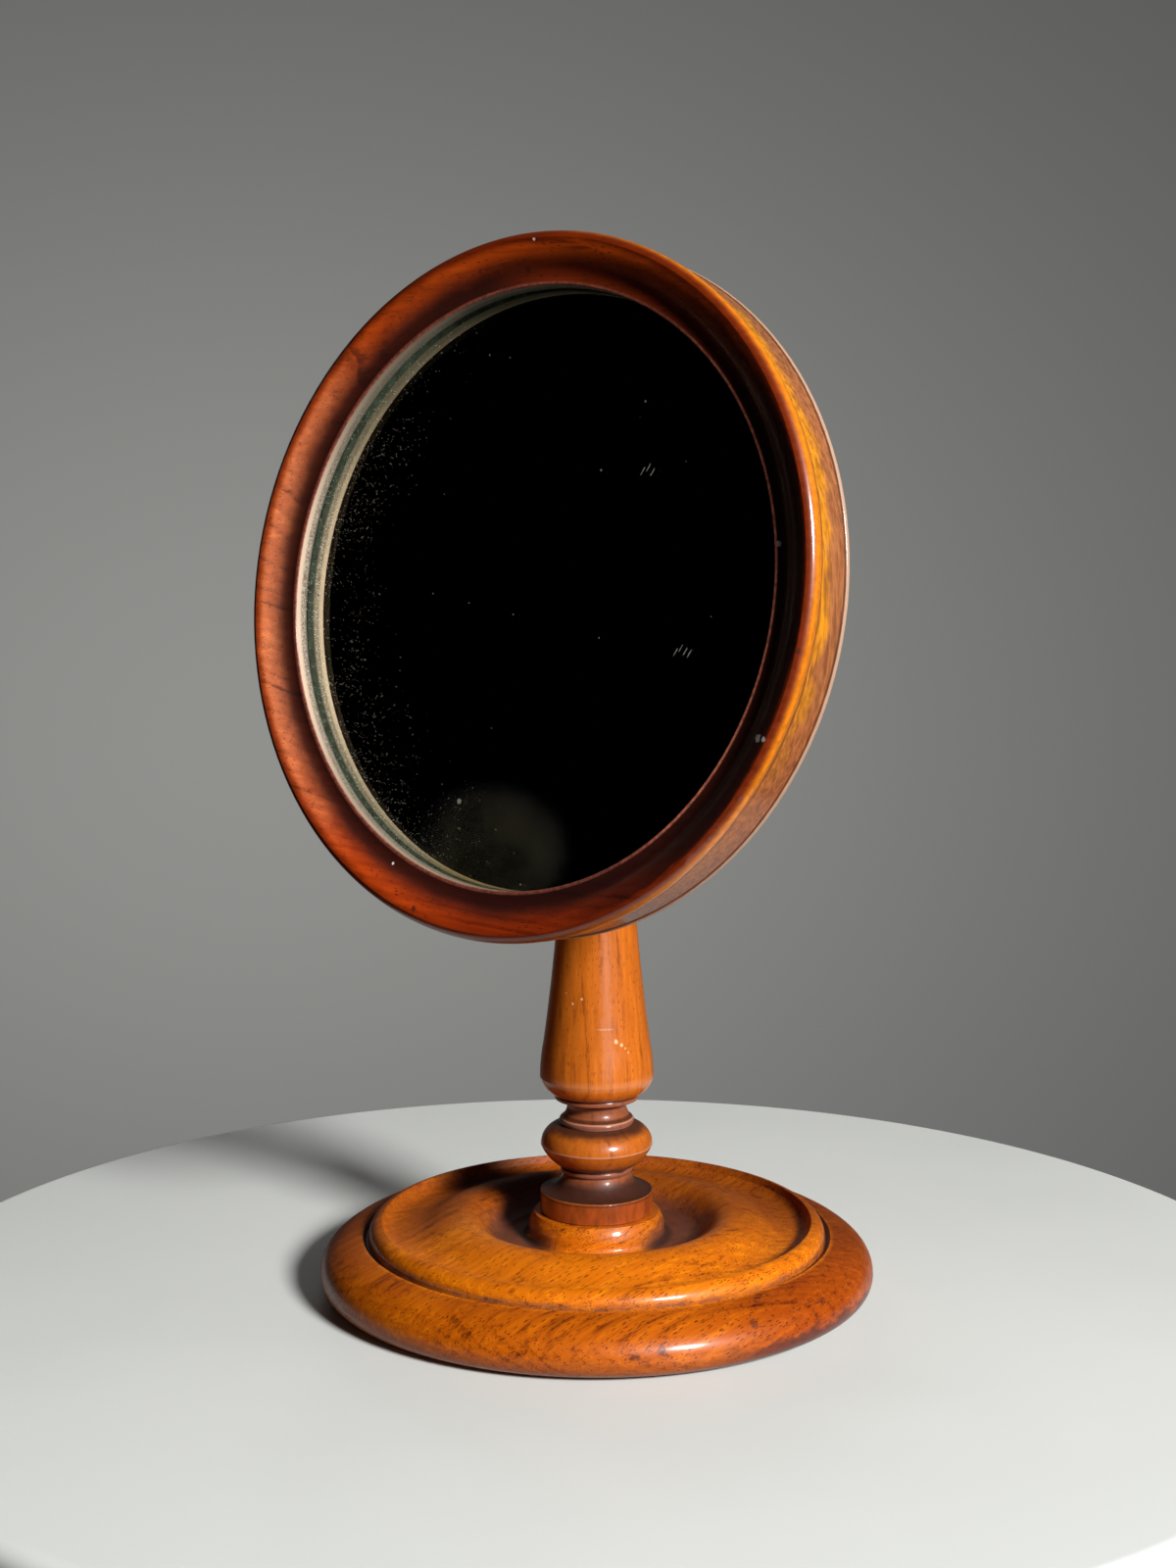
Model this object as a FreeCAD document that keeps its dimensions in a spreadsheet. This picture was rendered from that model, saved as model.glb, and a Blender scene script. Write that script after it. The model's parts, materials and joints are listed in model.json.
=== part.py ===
"""Round vanity mirror on a turned pedestal: a dished base, a baluster column and a framed glass that tilts.

The part stands on the plane z = 0 with the column's axis on z, and the glass faces -y.
Every piece of the tilting head is drawn upright about the pivot axis, then leaned back to its resting tilt.
"""

import FreeCAD, Part
import math
import os
from types import SimpleNamespace

import Sketcher

# Driving dimensions, in millimetres and degrees.
SIZES = {
    # Stance of the whole mirror
    "pivot_height": 240.0,
    "rest_tilt": 9.0,
    # Fits between pieces
    "fit_gap": 0.1,
    "turning_gap": 0.06,
    "glass_gap": 0.3,
    "overrun": 2.0,
    # Baize under the base
    "baize_thickness": 1.2,
    "baize_margin": 3.0,
    # Turned base, from the outside inwards
    "base_radius": 97.2,
    "foot_inset": 5.7,
    "belly_height": 5.5,
    "shoulder_inset": 3.0,
    "shoulder_height": 12.5,
    "moulding_width": 15.0,
    "moulding_height": 17.7,
    "quirk_width": 2.0,
    "quirk_depth": 1.4,
    "rim_width": 4.7,
    "rim_height": 22.9,
    "rim_wall_height": 2.5,
    "dish_floor_height": 18.8,
    "crest_height": 24.6,
    "well_floor_height": 16.4,
    "collar_radius": 22.0,
    "collar_height": 25.2,
    "collar_flare": 1.9,
    "collar_flare_height": 4.6,
    "collar_cove": 2.4,
    # Fixing of the column from below
    "tenon_radius": 9.0,
    "tenon_length": 18.8,
    "web_thickness": 3.0,
    "screw_radius": 2.2,
    "screw_bite": 15.0,
    "screw_head_radius": 4.6,
    "screw_head_height": 2.2,
    "screw_slot_width": 1.0,
    "screw_slot_depth": 0.9,
    "plate_washer_radius": 7.0,
    "plate_washer_thickness": 1.0,
    # Turned column, from the foot upwards
    "flange_radius": 19.8,
    "flange_height": 7.8,
    "flange_edge": 0.5,
    "scotia_height": 6.6,
    "scotia_neck_radius": 11.6,
    "lower_fillet_radius": 12.3,
    "lower_fillet_height": 2.0,
    "knop_radius": 19.65,
    "knop_lower_height": 7.7,
    "knop_upper_height": 7.5,
    "upper_fillet_radius": 12.5,
    "upper_fillet_height": 2.4,
    "neck_radius": 10.8,
    "neck_height": 6.6,
    "vase_fillet_radius": 14.6,
    "vase_fillet_height": 1.6,
    "vase_radius": 19.9,
    "vase_swell_height": 6.4,
    "vase_shoulder_height": 12.5,
    "vase_shoulder_drop": 1.3,
    "shaft_top_radius": 11.4,
    # Brass on top of the column
    "ferrule_height": 18.0,
    "ferrule_wall": 1.2,
    "ferrule_bead": 0.7,
    "eye_radius": 8.0,
    "eye_thickness": 8.0,
    "eye_flange_radius": 10.4,
    "eye_flange_thickness": 2.2,
    "eye_stem_height": 16.0,
    "eye_shank_radius": 3.2,
    "eye_shank_length": 27.0,
    # Tilting frame, from the sight edge outwards and from the pivot forwards
    "bracket_reach": 26.1,
    "sight_radius": 99.0,
    "glass_lip": 2.5,
    "board_ledge": 6.6,
    "frame_wall": 5.7,
    "bead_proud": 1.7,
    "bead_roll_width": 2.4,
    "bead_roll_height": 4.3,
    "bead_tuck": 3.3,
    "bead_quirk": 0.5,
    "back_edge_proud": 0.5,
    "back_edge_height": 1.6,
    "lip_depth": 5.5,
    "face_rise": 5.3,
    "sight_fillet": 1.2,
    "sight_round": 0.5,
    "glass_thickness": 3.0,
    "glass_arris": 0.5,
    "silvering_thickness": 0.2,
    "packing_thickness": 1.6,
    "board_thickness": 7.6,
    "board_flange_thickness": 5.0,
    "board_arris": 1.0,
    "board_screw_radius": 1.2,
    "board_screw_head_radius": 2.2,
    "board_screw_head_depth": 1.3,
    "board_screw_length": 11.0,
    "board_screw_slot": 0.5,
    # Brass bracket on the back board
    "bracket_plate_radius": 23.0,
    "bracket_plate_thickness": 3.0,
    "bracket_plate_round": 1.0,
    "ear_thickness": 4.0,
    "ear_end_radius": 7.5,
    "ear_root_height": 24.0,
    "bracket_screw_radius": 1.7,
    "bracket_screw_head_radius": 3.2,
    "bracket_screw_head_depth": 1.8,
    "bracket_screw_length": 9.0,
    "bracket_screw_slot": 0.7,
    # Pivot bolt and its clamp
    "leather_thickness": 1.0,
    "leather_radius": 7.0,
    "bolt_radius": 3.0,
    "bolt_head_radius": 6.2,
    "bolt_head_height": 3.4,
    "bolt_slot_width": 1.2,
    "bolt_slot_depth": 1.2,
    "bolt_tail": 2.0,
    "nut_washer_thickness": 0.9,
    "nut_washer_radius": 6.6,
    "nut_hub_radius": 5.4,
    "nut_hub_height": 3.0,
    "nut_rim_radius": 10.0,
    "nut_rim_width": 5.0,
    "nut_rim_edge": 0.8,
    "nut_flute_radius": 1.1,
}
BOARD_SCREW_COUNT = 6
BRACKET_SCREW_COUNT = 4
NUT_FLUTE_COUNT = 24
FULL_TURN = 360.0

doc = FreeCAD.newDocument("vanity_mirror")
sheet = doc.addObject("Spreadsheet::Sheet", "Sizes")
for row, (alias, number) in enumerate(SIZES.items(), start=1):
    sheet.set(f"A{row}", alias)
    sheet.set(f"B{row}", str(number))
    sheet.setAlias(f"B{row}", alias)
doc.recompute()


class Size:
    """A length of the sheet, or a sum of such lengths: its expression text with its present value."""

    def __init__(self, text, value):
        self.text = text
        self.value = value

    def __add__(self, other):
        return Size(f"({self.text} + {other.text})", self.value + other.value)

    def __sub__(self, other):
        return Size(f"({self.text} - {other.text})", self.value - other.value)

    def __mul__(self, share):
        return Size(f"({self.text} * {share})", self.value * share)

    def __neg__(self):
        return Size(f"(0 - {self.text})", -self.value)


s = SimpleNamespace(**{alias: Size(f"Sizes.{alias}", float(sheet.get(alias))) for alias in SIZES})
ZERO = Size("0", 0.0)
HALF_SHARE = 0.5


def bind(item, path, size):
    """Ties one property of an object to the sheet."""
    item.setExpression(path, size.text)


def plane(body, role):
    """One of a body's own origin planes."""
    return next(feature for feature in body.Origin.OriginFeatures if feature.Role == role)


def new_sketch(body, name, role, lift=None):
    """An empty sketch on an origin plane, lifted along the plane's normal."""
    sketch = body.newObject("Sketcher::SketchObject", name)
    sketch.AttachmentSupport = [(plane(body, role), "")]
    sketch.MapMode = "FlatFace"
    if lift is not None:
        bind(sketch, "AttachmentOffset.Base.z", lift)
    return sketch


def arc_between(start, end, turn):
    """The arc from start to end that turns by so many degrees on its way, left turns positive."""
    half_turn = math.radians(abs(turn)) / 2
    chord = end - start
    radius = chord.Length / 2 / math.sin(half_turn)
    left = FreeCAD.Vector(-chord.y, chord.x, 0).normalize()
    side = 1 if turn > 0 else -1
    centre = (start + end) / 2 + left * (side * radius * math.cos(half_turn))
    first, last = (start, end) if turn > 0 else (end, start)
    angles = [math.atan2(point.y - centre.y, point.x - centre.x) for point in (first, last)]
    return Part.ArcOfCircle(Part.Circle(centre, FreeCAD.Vector(0, 0, 1), radius), *angles)


def pin_point(sketch, edge, end, across, along, name):
    """Holds one end of an edge at its place, which the sheet gives."""
    for kind, axis, size in (("DistanceX", -2, across), ("DistanceY", -1, along)):
        if size is ZERO:
            sketch.addConstraint(Sketcher.Constraint("PointOnObject", edge, end, axis))
            continue
        index = sketch.addConstraint(Sketcher.Constraint(kind, edge, end, size.value))
        sketch.renameConstraint(index, f"{name}_{kind}")
        bind(sketch, f"Constraints.{name}_{kind}", size)


def outline(sketch, corners):
    """A closed outline, anticlockwise. A corner is (across, along), and a third number is an arc's turn."""
    points = [FreeCAD.Vector(corner[0].value, corner[1].value, 0) for corner in corners]
    ends = []
    for number, corner in enumerate(corners):
        start, end = points[number - 1], points[number]
        turn = corner[2] if len(corner) > 2 else 0
        if turn:
            edge = sketch.addGeometry(arc_between(start, end, turn), False)
            sketch.addConstraint(Sketcher.Constraint("Angle", edge, math.radians(abs(turn))))
        else:
            edge = sketch.addGeometry(Part.LineSegment(start, end), False)
        ends.append((edge, 1, 2) if turn >= 0 else (edge, 2, 1))
    for number, corner in enumerate(corners):
        edge, _, last = ends[number]
        next_edge, first, _ = ends[(number + 1) % len(ends)]
        sketch.addConstraint(Sketcher.Constraint("Coincident", edge, last, next_edge, first))
        pin_point(sketch, edge, last, corner[0], corner[1], f"corner{number}")
    return sketch


def circle(sketch, across, along, radius):
    """A circle whose centre and radius come from the sheet."""
    centre = FreeCAD.Vector(across.value, along.value, 0)
    edge = sketch.addGeometry(Part.Circle(centre, FreeCAD.Vector(0, 0, 1), radius.value), False)
    pin_point(sketch, edge, 3, across, along, f"centre{edge}")
    index = sketch.addConstraint(Sketcher.Constraint("Radius", edge, radius.value))
    sketch.renameConstraint(index, f"radius{edge}")
    bind(sketch, f"Constraints.radius{edge}", radius)
    return sketch


def rectangle(sketch, low_across, low_along, high_across, high_along):
    """A rectangle between two corners."""
    return outline(sketch, [
        (low_across, low_along),
        (high_across, low_along),
        (high_across, high_along),
        (low_across, high_along),
    ])


def new_body(label):
    body = doc.addObject("PartDesign::Body", label)
    body.Label = label
    body.AllowCompound = True
    return body


def turning(body, name, sketch, axis):
    """A solid of revolution about one of the sketch's own axes."""
    feature = body.newObject("PartDesign::Revolution", name)
    feature.Profile = sketch
    feature.ReferenceAxis = (sketch, [axis])
    feature.Angle = FULL_TURN
    return feature


def pad(body, name, sketch, length, midplane=False):
    feature = body.newObject("PartDesign::Pad", name)
    feature.Profile = sketch
    feature.Midplane = midplane
    bind(feature, "Length", length)
    return feature


def pocket(body, name, sketch, depth, midplane=False, reverse=False):
    feature = body.newObject("PartDesign::Pocket", name)
    feature.Profile = sketch
    feature.Midplane = midplane
    feature.Reversed = reverse
    bind(feature, "Length", depth)
    return feature


def ring_of(body, name, features, sketch, axis, count):
    """Copies features evenly round an axis of a sketch."""
    pattern = body.newObject("PartDesign::PolarPattern", name)
    pattern.Originals = features
    pattern.Axis = (sketch, [axis])
    pattern.Angle = FULL_TURN
    pattern.Occurrences = count
    body.Tip = pattern
    return pattern


def lathe_piece(label, corners):
    """A piece turned about the upright axis."""
    body = new_body(label)
    sketch = outline(new_sketch(body, f"{label}_profile", "XZ_Plane"), corners)
    turning(body, f"{label}_turning", sketch, "V_Axis")
    return body


def face_piece(label, corners):
    """A piece turned about the axis that the glass faces along, in the head's own frame."""
    body = new_body(label)
    sketch = outline(new_sketch(body, f"{label}_profile", "XY_Plane"), corners)
    turning(body, f"{label}_turning", sketch, "V_Axis")
    return lean_back(body)


def lean_back(item):
    """Puts a piece of the head on its pivot, leaned back to the resting tilt."""
    item.Placement = FreeCAD.Placement(
        FreeCAD.Vector(0, 0, s.pivot_height.value),
        FreeCAD.Rotation(FreeCAD.Vector(-1, 0, 0), s.rest_tilt.value),
    )
    bind(item, "Placement.Base.z", s.pivot_height)
    bind(item, "Placement.Rotation.Angle", s.rest_tilt)
    return item


# Heights of the stand, from the table upwards
underside = s.baize_thickness
collar_top = underside + s.collar_height
tenon_bottom = collar_top - s.tenon_length
web_top = tenon_bottom - s.fit_gap
web_bottom = web_top - s.web_thickness
column_top = s.pivot_height - s.eye_stem_height
shaft_top = column_top - s.ferrule_height
spigot_radius = s.shaft_top_radius - s.ferrule_wall - s.fit_gap
washer_room_radius = s.plate_washer_radius + s.fit_gap

# Depths of the head in front of its pivot axis, as negative y
back_face = -s.bracket_reach
flange_front = back_face - s.board_flange_thickness
plug_front = back_face - s.board_thickness
packing_front = plug_front - s.packing_thickness
silvering_front = packing_front - s.silvering_thickness
glass_front = silvering_front - s.glass_thickness
sight_plane = glass_front - s.lip_depth
crown_plane = sight_plane - s.face_rise

# Radii of the head, from the sight edge outwards
glass_radius = s.sight_radius + s.glass_lip
rebate_radius = glass_radius + s.glass_gap
board_seat_radius = rebate_radius + s.board_ledge
board_radius = board_seat_radius - s.glass_gap
plug_radius = rebate_radius - s.glass_gap
board_screw_circle = (rebate_radius + board_radius) * HALF_SHARE
frame_radius = board_seat_radius + s.frame_wall
bead_outer_radius = frame_radius + s.bead_proud

# Widths across the pivot, from the middle outwards
eye_half = s.eye_thickness * HALF_SHARE
slot_half = eye_half + s.leather_thickness + s.turning_gap
ear_outer = slot_half + s.ear_thickness


def make_base():
    """The base: a cushion moulding, a quirk, a rounded rim, then a dish with a well round the collar."""
    belly = underside + s.belly_height
    shoulder = underside + s.shoulder_height
    moulding_top = underside + s.moulding_height
    quirk_floor = moulding_top - s.quirk_depth
    rim_top = underside + s.rim_height
    wall_foot = rim_top - s.rim_wall_height
    dish_floor = underside + s.dish_floor_height
    crest = underside + s.crest_height
    well_floor = underside + s.well_floor_height
    quirk_outer = s.base_radius - s.moulding_width
    rim_outer = quirk_outer - s.quirk_width
    rim_inner = rim_outer - s.rim_width
    collar_wall = s.collar_radius + s.collar_flare
    collar_foot = collar_wall + s.collar_cove
    # Places across the dish, as shares of the way from the collar's foot out to the rim's inner edge
    dish_width = rim_inner - collar_foot
    wall_foot_share, floor_share, swell_share, crest_share = 0.98, 0.876, 0.659, 0.437
    lip_share, slope_foot_share, well_edge_share = 0.297, 0.209, 0.126
    swell_height_share, lip_drop_share, slope_drop_share = 0.5, 0.36, 0.84
    quirk_slope_share, rim_face_share = 0.5, 0.28
    well_depth = crest - well_floor
    swell = dish_floor + (crest - dish_floor) * swell_height_share
    corners = [
        (washer_room_radius, underside),
        (s.base_radius - s.foot_inset, underside),
        (s.base_radius, belly, 92),
        (s.base_radius - s.shoulder_inset, shoulder, 46),
        (quirk_outer, moulding_top, 40),
        (quirk_outer - s.quirk_width * quirk_slope_share, quirk_floor),
        (rim_outer, quirk_floor),
        (rim_outer, quirk_floor + (rim_top - quirk_floor) * rim_face_share),
        (rim_inner, rim_top, 86),
        (collar_foot + dish_width * wall_foot_share, wall_foot),
        (collar_foot + dish_width * floor_share, dish_floor, -56),
        (collar_foot + dish_width * swell_share, swell, -26),
        (collar_foot + dish_width * crest_share, crest, 27),
        (collar_foot + dish_width * lip_share, crest - well_depth * lip_drop_share, 45),
        (collar_foot + dish_width * slope_foot_share, crest - well_depth * slope_drop_share),
        (collar_foot + dish_width * well_edge_share, well_floor, -36),
        (collar_foot, well_floor),
        (collar_wall, well_floor + s.collar_cove, -86),
        (collar_wall, collar_top - s.collar_flare_height),
        (s.collar_radius, collar_top, 28),
        (s.tenon_radius + s.fit_gap, collar_top),
        (s.tenon_radius + s.fit_gap, web_top),
        (s.screw_radius + s.fit_gap, web_top),
        (s.screw_radius + s.fit_gap, web_bottom),
        (washer_room_radius, web_bottom),
    ]
    return lathe_piece("base", corners)


def make_baize_pad():
    """The round of baize that the base stands on."""
    body = new_body("baize_pad")
    sketch = circle(new_sketch(body, "baize_outline", "XY_Plane"), ZERO, ZERO,
                    s.base_radius - s.foot_inset - s.baize_margin)
    pad(body, "baize_sheet", sketch, s.baize_thickness)
    return body


def make_column():
    """The column: tenon, flange, scotia, ridged knop, neck, then a vase that tapers to the ferrule."""
    flange_top = collar_top + s.flange_height
    scotia_top = flange_top + s.scotia_height
    lower_fillet_top = scotia_top + s.lower_fillet_height
    knop_ridge = lower_fillet_top + s.knop_lower_height
    knop_top = knop_ridge + s.knop_upper_height
    upper_fillet_top = knop_top + s.upper_fillet_height
    neck_top = upper_fillet_top + s.neck_height
    vase_fillet_top = neck_top + s.vase_fillet_height
    vase_belly = vase_fillet_top + s.vase_swell_height
    shoulder = vase_belly + s.vase_shoulder_height
    neck_step_share = 0.15
    corners = [
        (ZERO, tenon_bottom),
        (s.tenon_radius, tenon_bottom),
        (s.tenon_radius, collar_top),
        (s.flange_radius - s.flange_edge, collar_top),
        (s.flange_radius, collar_top + s.flange_edge, 70),
        (s.flange_radius, flange_top - s.flange_edge),
        (s.flange_radius - s.flange_edge, flange_top, 80),
        (s.scotia_neck_radius, scotia_top, -78),
        (s.lower_fillet_radius, scotia_top),
        (s.lower_fillet_radius, lower_fillet_top, 90),
        (s.knop_radius, knop_ridge, 40),
        (s.upper_fillet_radius, knop_top, 88),
        (s.upper_fillet_radius, upper_fillet_top, 110),
        (s.neck_radius, neck_top - s.neck_height * neck_step_share, -80),
        (s.neck_radius, neck_top),
        (s.vase_fillet_radius, neck_top),
        (s.vase_fillet_radius, vase_fillet_top, 60),
        (s.vase_radius, vase_belly, 60),
        (s.vase_radius - s.vase_shoulder_drop, shoulder, 11),
        (s.shaft_top_radius, shaft_top, -9),
        (spigot_radius, shaft_top),
        (spigot_radius, column_top),
        (ZERO, column_top),
    ]
    body = lathe_piece("column", corners)
    foot_bore = circle(new_sketch(body, "foot_bore_outline", "XY_Plane", tenon_bottom), ZERO, ZERO,
                       s.screw_radius + s.fit_gap)
    pocket(body, "foot_bore", foot_bore, s.screw_bite + s.fit_gap, reverse=True)
    top_bore = circle(new_sketch(body, "top_bore_outline", "XY_Plane", column_top), ZERO, ZERO,
                      s.eye_shank_radius + s.fit_gap)
    pocket(body, "top_bore", top_bore, s.eye_shank_length + s.fit_gap)
    return body


def make_column_screw():
    """The slotted screw that draws the column's tenon down from below."""
    head_top = web_bottom - s.plate_washer_thickness
    head_bottom = head_top - s.screw_head_height
    body = lathe_piece("column_screw", [
        (ZERO, head_bottom),
        (s.screw_head_radius, head_bottom),
        (s.screw_head_radius, head_top),
        (s.screw_radius, head_top),
        (s.screw_radius, tenon_bottom + s.screw_bite - s.screw_radius),
        (ZERO, tenon_bottom + s.screw_bite),
    ])
    slot = new_sketch(body, "column_screw_slot_outline", "XY_Plane", head_bottom)
    slot_half_width = s.screw_slot_width * HALF_SHARE
    reach = s.screw_head_radius + s.overrun
    rectangle(slot, -reach, -slot_half_width, reach, slot_half_width)
    pocket(body, "column_screw_slot", slot, s.screw_slot_depth, reverse=True)
    return body


def make_plate_washer():
    """The washer under the column screw's head."""
    return lathe_piece("plate_washer", [
        (s.screw_radius + s.fit_gap, web_bottom - s.plate_washer_thickness),
        (s.plate_washer_radius, web_bottom - s.plate_washer_thickness),
        (s.plate_washer_radius, web_bottom),
        (s.screw_radius + s.fit_gap, web_bottom),
    ])


def make_ferrule():
    """The brass ferrule on the column's spigot, with a bead at its foot and a rounded lip."""
    inner = spigot_radius + s.fit_gap
    bead_top_share = 0.16
    bead_top = shaft_top + s.ferrule_height * bead_top_share
    return lathe_piece("ferrule", [
        (inner, shaft_top),
        (s.shaft_top_radius, shaft_top),
        (s.shaft_top_radius, bead_top, 130),
        (s.shaft_top_radius, column_top - s.ferrule_bead),
        (s.shaft_top_radius - s.ferrule_bead, column_top, 90),
        (inner, column_top),
    ])


def make_pivot_eye():
    """The brass eye that carries the head, on a slim stem with a flange and a shank in the column."""
    flange_top = column_top + s.eye_flange_thickness
    stem_radius = eye_half - s.turning_gap
    flare = (s.eye_flange_radius - stem_radius) * HALF_SHARE
    body = lathe_piece("pivot_eye", [
        (ZERO, column_top - s.eye_shank_length),
        (s.eye_shank_radius, column_top - s.eye_shank_length + s.eye_shank_radius),
        (s.eye_shank_radius, column_top),
        (s.eye_flange_radius, column_top),
        (s.eye_flange_radius - s.eye_flange_thickness * HALF_SHARE, flange_top, 60),
        (stem_radius + flare, flange_top),
        (stem_radius, flange_top + flare, -80),
        (stem_radius, s.pivot_height),
        (ZERO, s.pivot_height),
    ])
    eye = circle(new_sketch(body, "eye_outline", "YZ_Plane"), ZERO, s.pivot_height, s.eye_radius)
    pad(body, "eye_disc", eye, s.eye_thickness, midplane=True)
    bore = circle(new_sketch(body, "eye_bore_outline", "YZ_Plane"), ZERO, s.pivot_height,
                  s.bolt_radius + s.turning_gap)
    pocket(body, "eye_bore", bore, s.eye_thickness + s.overrun, midplane=True)
    return body


def make_frame_ring():
    """The frame: a lip over the glass, an ogee rising to the bead, a flat side and the rebates behind."""
    belly_plane = crown_plane + s.bead_roll_height
    quirk_plane = belly_plane + s.bead_tuck
    back_band = back_face - s.back_edge_height
    bead_crest = bead_outer_radius - s.bead_roll_width
    bend_share, bend_rise_share = 0.5, 0.37
    bend_radius = s.sight_radius + (bead_crest - s.sight_radius) * bend_share
    return face_piece("frame_ring", [
        (s.sight_radius, glass_front),
        (s.sight_radius, sight_plane + s.sight_round),
        (s.sight_radius + s.sight_round, sight_plane, 90),
        (s.sight_radius + s.sight_fillet, sight_plane),
        (bend_radius, sight_plane - s.face_rise * bend_rise_share, -50),
        (bead_crest, crown_plane, 30),
        (bead_outer_radius, belly_plane, 100),
        (frame_radius, quirk_plane, 30),
        (frame_radius, quirk_plane + s.bead_quirk),
        (frame_radius, back_band),
        (frame_radius + s.back_edge_proud, back_band + s.back_edge_proud, 40),
        (frame_radius + s.back_edge_proud, back_face),
        (board_seat_radius, back_face),
        (board_seat_radius, flange_front),
        (rebate_radius, flange_front),
        (rebate_radius, glass_front),
    ])


def make_mirror_glass():
    """The plate of glass, with its edges taken off."""
    return face_piece("mirror_glass", [
        (ZERO, glass_front),
        (glass_radius - s.glass_arris, glass_front),
        (glass_radius, glass_front + s.glass_arris),
        (glass_radius, silvering_front - s.glass_arris),
        (glass_radius - s.glass_arris, silvering_front),
        (ZERO, silvering_front),
    ])


def make_disc(label, radius, front, back):
    """A plain round sheet in the head."""
    return face_piece(label, [(ZERO, front), (radius, front), (radius, back), (ZERO, back)])


def make_back_board():
    """The turned back board: a plug that presses the packing, and a flange that screws to the frame."""
    return face_piece("back_board", [
        (ZERO, plug_front),
        (plug_radius, plug_front),
        (plug_radius, flange_front),
        (board_radius, flange_front),
        (board_radius, back_face - s.board_arris),
        (board_radius - s.board_arris, back_face, 90),
        (ZERO, back_face),
    ])


def screw_outline(sketch, place, outer_face, radius, head_radius, head_depth, length):
    """Half a countersunk screw, with the screw's own axis as the sketch's first extra axis."""
    tip = outer_face - length
    outline(sketch, [
        (place, tip),
        (place + radius, tip + radius),
        (place + radius, outer_face - head_depth),
        (place + head_radius, outer_face),
        (place, outer_face),
    ])
    return screw_axis(sketch, place, tip, outer_face, 4)


def hole_outline(sketch, place, outer_face, radius, head_radius, head_depth, length):
    """Half the hole that such a screw fits, open past the face it is driven from."""
    tip = outer_face - length - s.fit_gap
    outer_end = outer_face + s.overrun
    outline(sketch, [
        (place, tip),
        (place + radius + s.fit_gap, tip + radius),
        (place + radius + s.fit_gap, outer_face - head_depth),
        (place + head_radius + s.fit_gap, outer_face),
        (place + head_radius + s.fit_gap, outer_end),
        (place, outer_end),
    ])
    return screw_axis(sketch, place, tip, outer_end, 5)


def screw_axis(sketch, place, tip, outer_end, last_edge):
    """Draws the axis of a screw or its hole as a construction line."""
    points = [FreeCAD.Vector(place.value, size.value, 0) for size in (tip, outer_end)]
    axis = sketch.addGeometry(Part.LineSegment(*points), True)
    sketch.addConstraint(Sketcher.Constraint("Coincident", axis, 1, 0, 2))
    sketch.addConstraint(Sketcher.Constraint("Coincident", axis, 2, last_edge, 2))
    return sketch


def make_screws(label, kind, slot_width, count):
    """A ring of slotted countersunk screws, driven forwards into the head."""
    place, outer_face, radius, head_radius, head_depth, length = kind
    body = new_body(label)
    sketch = screw_outline(new_sketch(body, f"{label}_profile", "XY_Plane"), *kind)
    shaft = turning(body, f"{label}_shaft", sketch, "Axis0")
    slot_outline = new_sketch(body, f"{label}_slot_outline", "XY_Plane")
    reach = head_radius + s.overrun
    slot_floor = outer_face - head_depth * HALF_SHARE
    rectangle(slot_outline, place - reach, slot_floor, place + reach, outer_face + s.overrun)
    slot = pocket(body, f"{label}_slot", slot_outline, slot_width, midplane=True)
    doc.recompute()
    ring_of(body, f"{label}_ring", [shaft, slot], sketch, "V_Axis", count)
    return lean_back(body)


def bore_for_screws(body, name, kind, count):
    """Cuts the ring of holes that a ring of screws fits."""
    sketch = hole_outline(new_sketch(body, f"{name}_profile", "XY_Plane"), *kind)
    groove = body.newObject("PartDesign::Groove", name)
    groove.Profile = sketch
    groove.ReferenceAxis = (sketch, ["Axis0"])
    groove.Angle = FULL_TURN
    doc.recompute()
    ring_of(body, f"{name}_ring", [groove], sketch, "V_Axis", count)


def make_pivot_bracket():
    """The brass bracket: a round plate on the back board, with two ears that hold the pivot bolt."""
    plate_face = back_face + s.bracket_plate_thickness
    root_half = s.ear_root_height * HALF_SHARE
    body = face_piece("pivot_bracket", [
        (ZERO, back_face),
        (s.bracket_plate_radius, back_face),
        (s.bracket_plate_radius, plate_face - s.bracket_plate_round),
        (s.bracket_plate_radius - s.bracket_plate_round, plate_face, 90),
        (ZERO, plate_face),
    ])
    ears = outline(new_sketch(body, "ear_outline", "YZ_Plane"), [
        (back_face, -root_half),
        (plate_face, -root_half),
        (ZERO, -s.ear_end_radius),
        (ZERO, s.ear_end_radius, 158),
        (plate_face, root_half),
        (back_face, root_half),
    ])
    pad(body, "ear_block", ears, ear_outer + ear_outer, midplane=True)
    slot = rectangle(new_sketch(body, "ear_slot_outline", "XY_Plane"),
                     -slot_half, plate_face, slot_half, s.ear_end_radius + s.overrun)
    pocket(body, "ear_slot", slot, s.ear_root_height + s.overrun, midplane=True)
    bore = circle(new_sketch(body, "ear_bore_outline", "YZ_Plane"), ZERO, ZERO, s.bolt_radius + s.fit_gap)
    pocket(body, "ear_bore", bore, ear_outer + ear_outer + s.overrun, midplane=True)
    return body


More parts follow.
